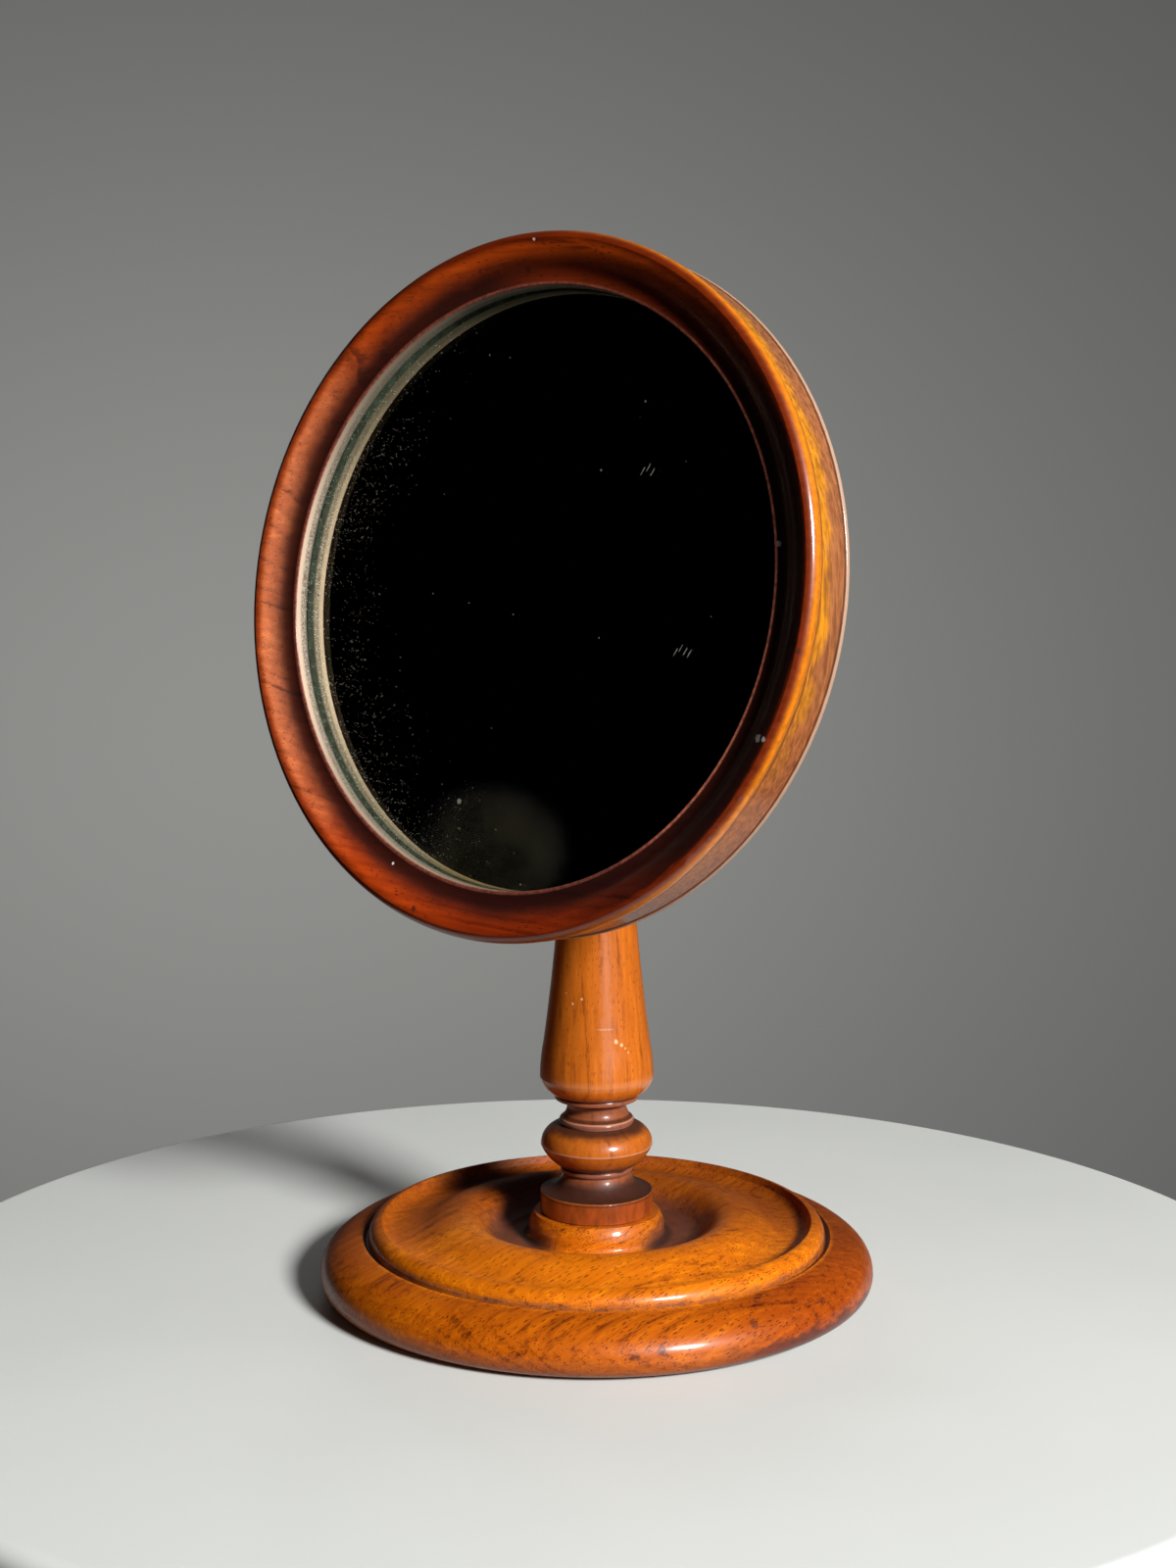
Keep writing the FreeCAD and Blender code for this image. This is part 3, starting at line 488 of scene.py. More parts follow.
columnWood = {
    "grain": {
        "Pale": (0.68, 0.178, 0.014, 1), "Middle": (0.52, 0.122, 0.008, 1), "Deep": (0.20, 0.038, 0.003, 1),
        "Ring Width": 3.2, "Ring Depth": 0.2, "Streaks": 1.8, "Mottle": 0.9,
        "Pore Length": 3.0, "Pore Width": 0.24, "Pore Share": 0.22,
    },
    "pith": (35.0, 25.0, 0.0), "grainTurn": (0.0, 89.0, 0.0),
    "roughness": 0.4, "polish": 0.5, "polishRoughness": 0.13, "relief": 0.12, "shine": 0.25,
    "wax": (0.018, 0.008, 0.009), "brownWax": (0.15, 0.052, 0.036), "fillet": (0.17, 0.06, 0.045),
    # the sheen tint is painted sheen, a pale band down the vase
    "knop": (0.30, 0.075, 0.010), "sheen": (0.60, 0.24, 0.13), "red": (0.26, 0.042, 0.008),
    # a lighter tint lies round the vase's widest part
    "pink": (0.58, 0.28, 0.19), "worn": (0.66, 0.30, 0.15), "mark": (0.80, 0.54, 0.28),
    "marks": [((15.4, -9.4, 91.0), 0.9), ((16.5, -7.8, 89.6), 0.75), ((17.2, -6.6, 88.4), 0.45),
              ((17.7, -5.6, 86.8), 0.4), ((-1.0, -16.0, 107.0), 0.4), ((2.1, -16.4, 103.6), 0.55),
              ((5.3, -15.4, 105.5), 0.55)],
    "scratch": {"Centre": (13.0, -12.0, 95.3), "Stretch": (0.2, 0.2, 1.6), "Size": 0.75},
    "scratchTint": (0.62, 0.32, 0.22),
    "ragNoise": ((0.2, 0.2, 0.45), 5.0, 0.6), "ragLevel": 2.2, "ragLine": 0.5, "ragSheen": 14.0,
    "brownStretch": (0.4, 0.4, 0.9), "redVaries": ((0.3, 0.3, 0.12), 0.6, 1.25),
    # heights in millimetres: level is ragged, line is nearly straight and height is exact
    "bands": {
        # the band along the flange's top edge carries painted shade
        "flange": ("line", 26.0, 26.6, 33.4, 33.9), "edgeLine": ("line", 32.6, 33.4, 34.2, 34.4),
        "scotiaBrown": ("level", 36.0, 38.0, 40.6, 41.2), "fillet": ("line", 40.5, 40.9, 42.6, 43.0),
        "under": ("level", 42.3, 42.7, 43.8, 46.2), "knop": ("level", 42.8, 44.5, 56.5, 58.0),
        # the ridge band and the two edge bands below carry painted highlight lines
        "ridge": ("line", 50.0, 50.35, 50.65, 51.0), "upper": ("line", 57.9, 58.2, 60.2, 60.5),
        "lowEdge": ("height", 57.95, 58.15, 58.45, 58.7), "highEdge": ("height", 59.7, 59.95, 60.2, 60.45),
        "neckFoot": ("line", 60.2, 60.5, 61.1, 62.0), "neck": ("level", 60.6, 62.2, 66.4, 67.2),
        "vaseFillet": ("line", 66.8, 67.1, 68.4, 68.8), "crease": ("line", 68.1, 68.5, 68.9, 70.2),
        "worn": ("level", 72.8, 74.6, 75.6, 77.8), "sheen": ("level", 74.0, 80.0, 130.0, 190.0),
    },
    "spans": {
        "scotiaFoot": (34.1, 34.2), "scotiaHead": (40.4, 36.6), "capFoot": (54.6, 57.6),
        "capHead": (58.2, 58.0), "wide": (12.05, 12.35), "flangeRim": (18.6, 19.2),
        "sheenBearing": (40.0, 46.0, 51.0, 58.0),
    },
    "coats": [
        ("flange", 0.85, "red", 0.4, 0.5), ("worn", 0.22, "worn", 0.42, 0.7),
        ("knop", 0.25, "knop", 0.4, 0.6), ("sheen", 0.3, "sheen", 0.4, 0.7),
        ("neck", 0.72, "brownWax", 0.45, 0.1), ("scotiaBrown", 0.7, "brownWax", 0.45, 0.1),
        ("vaseFillet", 0.7, "fillet", 0.45, 0.15), ("upper", 0.8, "fillet", 0.45, 0.15),
        ("fillet", 0.8, "fillet", 0.45, 0.15), ("under", 0.85, "wax", 0.45, 0.3),
        ("cap", 0.88, "wax", 0.45, 0.3), ("neckFoot", 0.85, "wax", 0.45, 0.3),
        ("crease", 0.75, "wax", 0.45, 0.3), ("scotia", 0.93, "wax", 0.5, 0.05),
        ("edges", 0.55, "pink", 0.42, 0.7), ("edgeLine", 0.55, "wax", 0.5, 0.1),
        ("scratch", 0.5, "scratchTint", 0.5, 0.3), ("marks", 0.75, "mark", 0.5, 0.5),
    ],
}


def columnLayers(place, look, sawn):
    spot = useGroup(turnedPlace, {"Place": place})
    radius, height, bearing = spot["Radius"], spot["Height"], spot["Bearing"]
    lies, within = measures(look["spans"])
    ragged = centred(noiseAt(place, *look["ragNoise"]))
    level = shifted(ragged, look["ragLevel"], height)
    heights = {"level": level, "line": shifted(ragged, look["ragLine"], height), "height": height}
    masks = {name: band(heights[kind], *limits) for name, (kind, *limits) in look["bands"].items()}
    # painted highlight lines along the knop's ridge and the upper fillet's edges
    edges = calc("MAXIMUM", masks["lowEdge"], masks["highEdge"])
    masks["edges"] = calc("MAXIMUM", masks["ridge"], both(edges, lies("wide", radius)))
    masks["scotia"] = both(lies("scotiaFoot", height), lies("scotiaHead", level))
    masks["cap"] = both(lies("capFoot", level), lies("capHead", height))
    # painted shade over the flange's top edge
    masks["edgeLine"] = both(masks["edgeLine"], lies("flangeRim", radius))
    # painted sheen: a pale vertical band down the right of the vase
    aside = shifted(ragged, look["ragSheen"], bearing)
    masks["sheen"] = both(masks["sheen"], within("sheenBearing", aside))
    masks["scratch"] = maskFrom(blot, place, look["scratch"])
    masks["marks"] = marksMask(place, look["marks"])
    tints = {
        "brownWax": varied(place, look["brownWax"], look["brownStretch"]),
        "red": varied(place, look["red"], *look["redVaries"]),
    }
    return sawn, look["roughness"], look["polish"], layCoats(look, masks, tints)


frameWood = {
    "grain": {
        "Pale": (0.50, 0.062, 0.006, 1), "Middle": (0.36, 0.040, 0.004, 1), "Deep": (0.13, 0.015, 0.002, 1),
        "Ring Width": 4.0, "Ring Depth": 0.4, "Streaks": 1.6, "Mottle": 1.0,
        "Pore Length": 3.0, "Pore Width": 0.4, "Pore Share": 0.35,
    },
    "pith": (0.0, 60.0, 330.0), "grainTurn": (0.0, 2.0, 0.0),
    "roughness": 0.4, "polish": 0.5, "polishRoughness": 0.14, "relief": 0.14, "shine": 0.25,
    # painted shade: the shaded tint on the crest, the bead's deep tint at its crest, the lip's shade tint and
    # the grey-green rebate tint; painted light: the paler sight edge at the right and the brightened chips
    "faded": (2.05, 4.8, 19.0), "warm": (1.5, 1.65, 1.4), "worn": (2.0, 2.2, 1.2),
    "shaded": (0.33, 0.26, 0.26), "lowStain": (0.85, 0.7, 0.7), "wax": (0.012, 0.004, 0.004),
    "bead": (0.80, 0.225, 0.006), "beadDeep": (0.18, 0.02, 0.002), "seam": (0.10, 0.030, 0.012),
    "arris": (0.30, 0.08, 0.05), "farArris": (0.85, 0.24, 0.14), "lip": (0.28, 0.245, 0.19),
    "lipEdge": (0.42, 0.31, 0.225), "lipSpeck": (0.10, 0.06, 0.04), "lipShade": (0.075, 0.066, 0.042),
    "side": (0.70, 0.27, 0.012), "sideWorn": (0.36, 0.14, 0.05), "sideLow": (0.40, 0.125, 0.035),
    "rebateShade": (0.05, 0.075, 0.055), "groove": (0.05, 0.02, 0.012), "backLine": (0.56, 0.38, 0.27),
    "chip": (0.80, 0.72, 0.66), "nick": (0.05, 0.012, 0.006),
    "chips": [((101.1, -54.3, 205.4), 1.5), ((103.8, -55.2, 205.2), 1.0), ((-41.8, -58.6, 153.6), 0.6),
              ((99.5, -40.9, 262.8), 1.1), ((-2.3, -30.9, 359.1), 0.7)],
    "nicks": [((-26.9, -65.2, 140.8), 1.3), ((112.9, -51.0, 231.6), 0.9), ((-7.2, -27.9, 349.9), 1.3)],
    "ragNoise": (0.09, 5.0, 0.6), "ragRadius": 2.5, "ragLow": 40.0, "ragLeft": 26.0,
    "ragSide": 60.0, "ragPatch": 16.0, "ragSeam": 2.5, "leftSlope": -0.08, "sideLowShare": 0.8,
    "gritNoise": (1.5, 4.0, 0.7),
    "sideVaries": ((0.7, 0.7, 0.09), 0.5, 1.2), "beadVaries": ((0.12, 0.5, 0.5), 0.75, 1.1),
    "rebateShadeVaries": (0.3, 0.5, 1.5), "arrisVaries": (0.8, 0.5, 1.3),
    # millimetres: rims are radii, depths lie in front of the pivot
    "spans": {
        "front": (43.3, 43.6), "hollow": (112.0, 103.4), "lowDown": (-45.0, -98.0),
        "leftPaleSide": (60.0, 110.0), "leftPaleIn": (101.0, 109.0), "leftPaleOut": (109.6, 112.4, 1.0, 0.15),
        "warmLeft": (0.0, 45.0), "rightward": (10.0, 85.0), "rightRim": (113.4, 112.2),
        "beadRim": (112.4, 113.6), "beadDepth": (41.6, 42.2), "beadAcross": (-30.0, 60.0, 0.25, 0.95),
        "beadDeep": (46.6, 48.9), "lipRim": (99.12, 99.03), "lipDepth": (43.6, 43.5),
        "arrisRim": (100.4, 99.8), "arrisDepth": (43.5, 43.65), "farArris": (45.0, 80.0),
        "sideRim": (113.8, 113.95), "sideDepth": (42.6, 42.0), "sideLow": (0.0, -60.0),
        "sidePatch": (33.5, 39.5), "groove": (27.4, 27.7, 28.1, 28.5), "backLine": (27.6, 27.3),
        "rebateRim": (102.8, 102.4), "rebateDepth": (38.7, 38.55),
        "seam": (40.3, 40.9, 41.5, 42.1), "seamRim": (113.2, 113.6), "grit": (0.42, 0.6),
        "lipEdge": (40.6, 42.2), "lipFoot": (39.35, 38.95), "lipTop": (10.0, 70.0, 0.0, 0.72),
        "lipLow": (-35.0, -80.0, 0.0, 0.55), "topUp": (35.0, 85.0), "topRim": (104.0, 110.0),
        "topAcross": (-62.0, 5.0), "awayLeft": (10.0, -70.0), "awayUp": (45.0, 85.0),
        "shadedRim": (110.3, 113.6), "topLessDarkUp": (45.0, 100.0, 0.0, 0.5), "topLessDarkAcross": (-28.0, 4.0),
    },
    "coats": [
        ("dark", 0.93, "wax", 0.5, 0.12), ("bead", 1.0, "bead", 0.4, 0.9),
        ("side", 0.86, "side", 0.48, 0.4), ("rebate", 1.0, "rebateShade", 0.6, 0.2),
        ("seam", 0.7, "seam", 0.5, 0.3), ("groove", 0.8, "groove", 0.5, 0.4),
        ("backLine", 0.75, "backLine", 0.5, 0.4), ("arris", 0.8, "arris", 0.5, 0.5),
        ("lip", 1.0, "lip", 0.65, 0.1), ("chips", 1.0, "chip", 0.6, 0.2),
        ("nicks", 0.8, "nick", 0.6, 0.2),
    ],
}


def frameLayers(place, look, sawn):
    spot = useGroup(headPlace, {"Place": place})
    radius, depth, across, up = spot["Radius"], spot["Depth"], spot["Across"], spot["Up"]
    lies, within = measures(look["spans"])
    ragged = centred(noiseAt(place, *look["ragNoise"]))
    swayed = shifted(ragged, look["ragRadius"], radius)
    toLeft = calc("MULTIPLY_ADD", up, look["leftSlope"], calc("MULTIPLY", across, -1.0))
    toLeft = shifted(ragged, look["ragLeft"], toLeft)

    # stains in the wood itself, the left face and the top paler, and painted shade on the outer crest at the
    # left and top
    lowDown = lies("lowDown", shifted(ragged, look["ragLow"], up))
    topLighter = both(lies("topUp", up), lies("topRim", swayed), lies("topAcross", across))
    faded = both(lies("leftPaleSide", toLeft), lies("leftPaleIn", swayed), lies("leftPaleOut", swayed))
    warmer = both(lies("warmLeft", toLeft), without(faded))
    # painted shade on the outer crest, at the left and at the top
    turnedAway = calc("MAXIMUM", lies("awayLeft", across), lies("awayUp", up))
    shaded = both(lies("shadedRim", swayed), turnedAway)
    wood = sawn
    for mask, tinting in ((lowDown, "lowStain"), (topLighter, "worn"), (warmer, "warm"), (faded, "faded"),
                        (shaded, "shaded")):
        wood = stainedOrShaded(wood, mask, look[tinting])

    # tints of the side, the bead, the sight edge and the dusty lip, with painted shade on the bead's crest
    # and on the lip, and painted light on the sight edge at the right
    low = lies("sideLow", shifted(ragged, look["ragSide"], up))
    patchy = lies("sidePatch", shifted(ragged, look["ragPatch"], depth))
    sideTint = mixColour(patchy, look["sideWorn"], look["side"])
    sideTint = mixColour(both(low, look["sideLowShare"]), sideTint, look["sideLow"])
    # the bead darkens towards its crest: painted shade
    beadTint = mixColour(lies("beadDeep", depth), look["bead"], look["beadDeep"])
    # the sight edge paler on the right: painted light
    arrisTint = mixColour(lies("farArris", across), look["arris"], look["farArris"])
    grit = noiseAt(place, *look["gritNoise"])
    lipTint = mixColour(lies("grit", grit), look["lipSpeck"], look["lip"])
    lipTint = mixColour(lies("lipEdge", depth), lipTint, look["lipEdge"])
    # painted shade on the lip by the glass, at its top and at its bottom
    for name, value in (("lipFoot", depth), ("lipTop", up), ("lipLow", up)):
        lipTint = mixColour(lies(name, value), lipTint, look["lipShade"])
    tints = {
        "side": varied(place, sideTint, *look["sideVaries"]),
        "bead": varied(place, beadTint, *look["beadVaries"]),
        "arris": varied(place, arrisTint, *look["arrisVaries"]),
        # the rebate wall behind the glass: painted shade under the lip, grey-green like the glass edge
        "rebateShade": varied(place, look["rebateShade"], *look["rebateShadeVaries"]),
        "lip": lipTint,
    }

    # where each coat lies
    front = lies("front", depth)
    hollow = both(lies("hollow", swayed), front)
    # the right side's inner face, in the crest's shadow: painted shadow
    rightward = both(lies("rightward", across), lies("rightRim", swayed), front)
    topLessDark = both(lies("topLessDarkUp", up), lies("topLessDarkAcross", across))
    onSide = both(lies("sideRim", radius), lies("sideDepth", depth))
    seam = within("seam", shifted(ragged, look["ragSeam"], depth))
    masks = {
        # the hollow's dark wax, and on the right side a painted shadow
        "dark": both(calc("MAXIMUM", hollow, rightward), without(topLessDark)),
        "bead": both(lies("beadRim", swayed), lies("beadDepth", depth), lies("beadAcross", across)),
        "side": onSide,
        # painted shade under the lip, on the rebate wall behind the glass
        "rebate": both(lies("rebateRim", radius), lies("rebateDepth", depth)),
        "seam": both(seam, lies("seamRim", radius)),
        "groove": both(onSide, within("groove", depth)),
        "backLine": both(onSide, lies("backLine", depth)),
        "arris": both(lies("arrisRim", radius), lies("arrisDepth", depth)),
        "lip": both(lies("lipRim", radius), lies("lipDepth", depth)),
        # chips: pale bare wood, brightened further as a painted highlight
        "chips": marksMask(place, look["chips"]),
        "nicks": marksMask(place, look["nicks"]),
    }
    return wood, look["roughness"], look["polish"], layCoats(look, masks, tints)


boardWood = {
    "grain": {
        "Pale": (0.46, 0.26, 0.12, 1), "Middle": (0.30, 0.15, 0.06, 1), "Deep": (0.10, 0.045, 0.018, 1),
        "Ring Width": 4.0, "Ring Depth": 0.5, "Streaks": 0.9, "Mottle": 0.9,
        "Pore Length": 3.5, "Pore Width": 0.5, "Pore Share": 0.4,
    },
    "pith": (0.0, 90.0, 330.0), "grainTurn": (0.0, 3.0, 0.0),
    "roughness": 0.6, "polish": 0.15, "polishRoughness": 0.3, "relief": 0.4, "shine": 0.3,
    "wax": (0.05, 0.03, 0.02), "patchNoise": (0.02, 4.0, 0.6),
    "patchSpan": (0.5, 0.75, 0.0, 0.5), "hollows": {"Reach": 0.006, "Start": 0.3, "Full": 0.8},
    "coats": [("patches", 1.0, "wax", 0.7, 0.0), ("hollows", 0.8, "wax", 0.7, 0.0)],
}


def boardLayers(place, look, sawn):
    masks = {
        "patches": fade(noiseAt(place, *look["patchNoise"]), *look["patchSpan"]),
        "hollows": maskFrom(recessWax, place, look["hollows"]),
    }
    return sawn, look["roughness"], look["polish"], layCoats(look, masks, {})


dress("base", woodMaterial("polishedBase", baseWood, baseLayers))
dress("column", woodMaterial("polishedColumn", columnWood, columnLayers))
dress("frame_ring", woodMaterial("polishedFrame", frameWood, frameLayers))
dress("back_board", woodMaterial("waxedBoard", boardWood, boardLayers))
print("wood dressed")


# Brass, steel, leather and packing

metalLooks = {
    "agedBrass": {"bright": (0.72, 0.50, 0.20), "dull": (0.34, 0.21, 0.08), "dirt": (0.05, 0.035, 0.02),
                  "roughness": 0.28, "tarnish": 0.55},
    "dullSteel": {"bright": (0.46, 0.45, 0.44), "dull": (0.20, 0.18, 0.16), "dirt": (0.05, 0.03, 0.02),
                  "roughness": 0.4, "tarnish": 0.6},
}
metalWear = {
    "cloudNoise": (0.18, 5.0, 0.65), "cloudSpan": (0.38, 0.68),
    "dirt": {"Reach": 0.003, "Start": 0.3, "Full": 0.8}, "dirtShare": 0.85,
    "pits": {"Spacing": 1.4, "Share": 0.2, "Size": 0.16}, "pitShare": 0.5,
    "tarnishRoughness": 0.3, "dirtRoughness": 0.8,
    "scoreNoise": (4.0, 3.0), "scores": (0.06, 0.0001),
}


def metalMaterial(name):
    look, wear = metalLooks[name], metalWear
    material, skin, place = newMaterial(name)
    clouds = noiseAt(place, *wear["cloudNoise"])
    tarnish = fade(clouds, *wear["cloudSpan"], 0.0, look["tarnish"])
    dirt = maskFrom(recessWax, place, wear["dirt"])
    pits = maskFrom(specks, place, wear["pits"])
    grime = calc("MAXIMUM", both(dirt, wear["dirtShare"]), both(pits, wear["pitShare"]))
    colour = mixColour(tarnish, look["bright"], look["dull"])
    feed(skin["Base Color"], mixColour(grime, colour, look["dirt"]))
    feed(skin["Metallic"], without(grime))
    rough = calc("MULTIPLY_ADD", tarnish, wear["tarnishRoughness"], look["roughness"])
    feed(skin["Roughness"], mixValue(grime, rough, wear["dirtRoughness"]))
    addBump(skin, noiseAt(place, *wear["scoreNoise"]), *wear["scores"])
    return material


softLooks = {
    "waxedLeather": {"main": (0.20, 0.10, 0.05), "dark": (0.07, 0.03, 0.018), "grain": 1.6, "roughness": 0.6},
    "packingPaper": {"main": (0.52, 0.44, 0.32), "dark": (0.34, 0.27, 0.18), "grain": 0.5, "roughness": 0.9},
}
softGrain = {
    "detail": (5.0, 0.6), "span": (0.35, 0.65), "roughSpan": (0.2, 0.8), "smoother": 0.1,
    "bump": (0.3, 0.0002),
}


def softMaterial(name):
    look = softLooks[name]
    material, skin, place = newMaterial(name)
    grain = noiseAt(place, look["grain"], *softGrain["detail"])
    pale = fade(grain, *softGrain["span"])
    feed(skin["Base Color"], mixColour(pale, look["dark"], look["main"]))
    smooth = look["roughness"] - softGrain["smoother"]
    feed(skin["Roughness"], fade(grain, *softGrain["roughSpan"], smooth, look["roughness"]))
    addBump(skin, grain, *softGrain["bump"])
    return material


agedBrass = metalMaterial("agedBrass")
dullSteel = metalMaterial("dullSteel")
for brassNode in ("ferrule", "pivot_eye", "pivot_bracket", "pivot_bolt", "nut_washer", "thumb_nut",
                  "back_board_screws", "bracket_screws"):
    dress(brassNode, agedBrass)
for steelNode in ("column_screw", "plate_washer"):
    dress(steelNode, dullSteel)
dress("leather_washers", softMaterial("waxedLeather"))
dress("packing_sheet", softMaterial("packingPaper"))
print("metal, leather and packing dressed")


# Meshes of the scene's own

latheShape = {"segments": 256, "sharp": 30.0}       # steps round, and degrees from which an edge stays sharp


def lathe(name, outline, placing):
    # outline is (radius, height) in metres from pole to pole, turned about Z and then placed
    segments = latheShape["segments"]
    verts, faces, rings = [], [], []
    for radius, height in outline:
        if radius == 0:
            rings.append([len(verts)])
            verts.append((0.0, 0.0, height))
            continue
        rings.append(list(range(len(verts), len(verts) + segments)))
        for step in range(segments):
            angle = 2 * math.pi * step / segments
            verts.append((radius * math.cos(angle), radius * math.sin(angle), height))
    for low, high in zip(rings, rings[1:]):
        for step in range(segments):
            after = (step + 1) % segments
            corners = [low[step % len(low)], low[after % len(low)],
                       high[after % len(high)], high[step % len(high)]]
            faces.append(list(dict.fromkeys(corners)))
    mesh = bpy.data.meshes.new(name)
    mesh.from_pydata(verts, [], faces)
    mesh.transform(placing)
    mesh.polygons.foreach_set("use_smooth", [True] * len(mesh.polygons))
    mesh.set_sharp_from_angle(angle=math.radians(latheShape["sharp"]))
    mesh.update()
    piece = bpy.data.objects.new(name, mesh)
    scene.collection.objects.link(piece)
    return piece


def headReach(nodeName):
    # radius, front depth and back depth of a node of the head, in metres
    points = [toHead @ vertex.co for vertex in nodes[nodeName].data.vertices]
    radius = max(math.hypot(point.x, point.z) for point in points)
    return radius, max(-point.y for point in points), min(-point.y for point in points)


# a lathe's Z becomes the way the glass faces
faceForward = fromHead @ Matrix.Rotation(math.radians(90), 4, "X")

glassLook = {
    "tint": (0.95, 0.965, 0.905), "smear": (0.91, 0.93, 0.875), "smearNoise": ((0.03, 0.03, 0.09), 4.0, 0.6),
    "smearSpan": (0.4, 0.7), "arris": 0.0005, "clear": 0.00003, "bends": 1.5,
}


def makeGlass():
    radius, front, back = headReach("mirror_glass")
    front, back, arris = front - glassLook["clear"], back + glassLook["clear"], glassLook["arris"]
    plate = lathe("glassPlate", [
        (0, back), (radius - arris, back), (radius, back + arris), (radius, front - arris),
        (radius - arris, front), (0, front),
    ], faceForward)
    material, skin, place = newMaterial("oldGlass")
    smears = fade(noiseAt(place, *glassLook["smearNoise"]), *glassLook["smearSpan"])
    feed(skin["Base Color"], mixColour(smears, glassLook["tint"], glassLook["smear"]))
    skin["Roughness"].default_value = 0.0
    skin["IOR"].default_value = glassLook["bends"]
    skin["Transmission Weight"].default_value = 1.0
    plate.data.materials.append(material)
    plate.visible_shadow = False
    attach(plate, "head")
    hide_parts("mirror_glass")


silverLook = {
    "silver": (0.90, 0.90, 0.88), "olive": (0.90, 0.80, 0.56), "clear": 0.00003, "thickness": 0.00012,
    "fox": 0.014, "loose": 0.03, "bloom": 0.014, "mark": 0.012,     # how much silver each takes away
    "foxRim": (54.0, 96.0), "foxLeft": (-5.0, -95.0), "foxSlope": 0.2, "foxClouds": (0.35, 0.65, 0.1, 0.6),
    "foxSpecks": {"Spacing": 0.5, "Size": 0.33},
    "looseSpecks": {"Spacing": 7.0, "Share": 0.45, "Size": 0.045},
    "cloudNoise": (0.07, 3.0), "dullSpan": (0.004, 0.012, 0.0, 0.4),
    "bloomAt": (-6.0, -48.0, 161.0), "bloomShape": (0.76, 1.15, 1.15), "bloomSpan": (27.0, 15.0),
    "bloomClouds": (0.3, 0.7, 0.4, 1.0),
    "marks": [((-21.8, -46.3, 174.9), 1.2), ((39.4, -25.5, 306.3), 0.6), ((24.4, -28.9, 284.7), 0.6)],
    "strokes": [(60.2, 228.0), (62.0, 229.2), (63.9, 228.4), (65.6, 228.0), (41.0, 284.4), (43.2, 285.6),
                (44.8, 284.0)],
    "stroke": {"Stretch": (3.0, 0.0, 0.5), "Size": 0.9}, "lean": 0.55,
}


def silverMarks(place):
    # round marks at known places, and short strokes that lean to the right
    marks = marksMask(place, silverLook["marks"])
    parts = put("SeparateXYZ", {"Vector": place}).outputs
    leaning = calc("MULTIPLY_ADD", parts["Z"], -silverLook["lean"], parts["X"])
    leaningPlace = put("CombineXYZ", {"X": leaning, "Z": parts["Z"]}).outputs[0]
    for across, height in silverLook["strokes"]:
        centre = (across - silverLook["lean"] * height, 0.0, height)
        stroke = maskFrom(blot, leaningPlace, {"Centre": centre, **silverLook["stroke"]})
        marks = calc("MAXIMUM", marks, stroke)
    return marks


def makeSilver():
    look = silverLook
    radius, front, back = headReach("silvered_coat")
    front -= look["clear"]
    back = front - look["thickness"]
    coat = lathe("silverFilm", [(0, back), (radius, back), (radius, front), (0, front)], faceForward)
    material, skin, place = newMaterial("foxedSilver")
    spot = useGroup(headPlace, {"Place": place})
    leftward = calc("MULTIPLY_ADD", spot["Up"], look["foxSlope"], spot["Across"])
    clouds = noiseAt(place, *look["cloudNoise"])
    crowd = both(fade(spot["Radius"], *look["foxRim"]), fade(leftward, *look["foxLeft"]),
                 fade(clouds, *look["foxClouds"]))
    fine = maskFrom(specks, place, {"Share": crowd, **look["foxSpecks"]})
    loose = maskFrom(specks, place, look["looseSpecks"])
    fox = calc("MAXIMUM", both(fine, look["fox"]), both(loose, look["loose"]))
    fox = calc("MAXIMUM", fox, both(silverMarks(place), look["mark"]))
    fromBloom = vectorCalc("SUBTRACT", place, look["bloomAt"])
    fromBloom = vectorCalc("MULTIPLY", fromBloom, look["bloomShape"])
    bloomed = fade(vectorCalc("LENGTH", fromBloom), *look["bloomSpan"])
    bloom = both(bloomed, fade(clouds, *look["bloomClouds"]))
    tinting = calc("MULTIPLY_ADD", bloom, look["bloom"], fox)
    feed(skin["Base Color"], mixColour(bloomed, look["silver"], look["olive"]))
    feed(skin["Metallic"], without(tinting))
    feed(skin["Roughness"], fade(fox, *look["dullSpan"]))
    coat.data.materials.append(material)
    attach(coat, "head")
    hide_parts("silvered_coat")


baizeLook = {
    "main": (0.035, 0.12, 0.06), "worn": (0.09, 0.17, 0.10), "between": (0.5, 0.5, 0.5),
    "rings": 14, "segments": 180, "ragged": 0.0006, "nap": 0.00008, "seed": 5,
    "sheen": 0.4, "bump": (0.5, 0.0003),
    "napNoise": (1.8, 5.0, 0.7), "napSpan": (0.3, 0.6), "roughSpan": (0.2, 0.8, 0.85, 1.0),
    "wearNoise": (0.05, 3.0), "wearSpan": (0.45, 0.7),
}


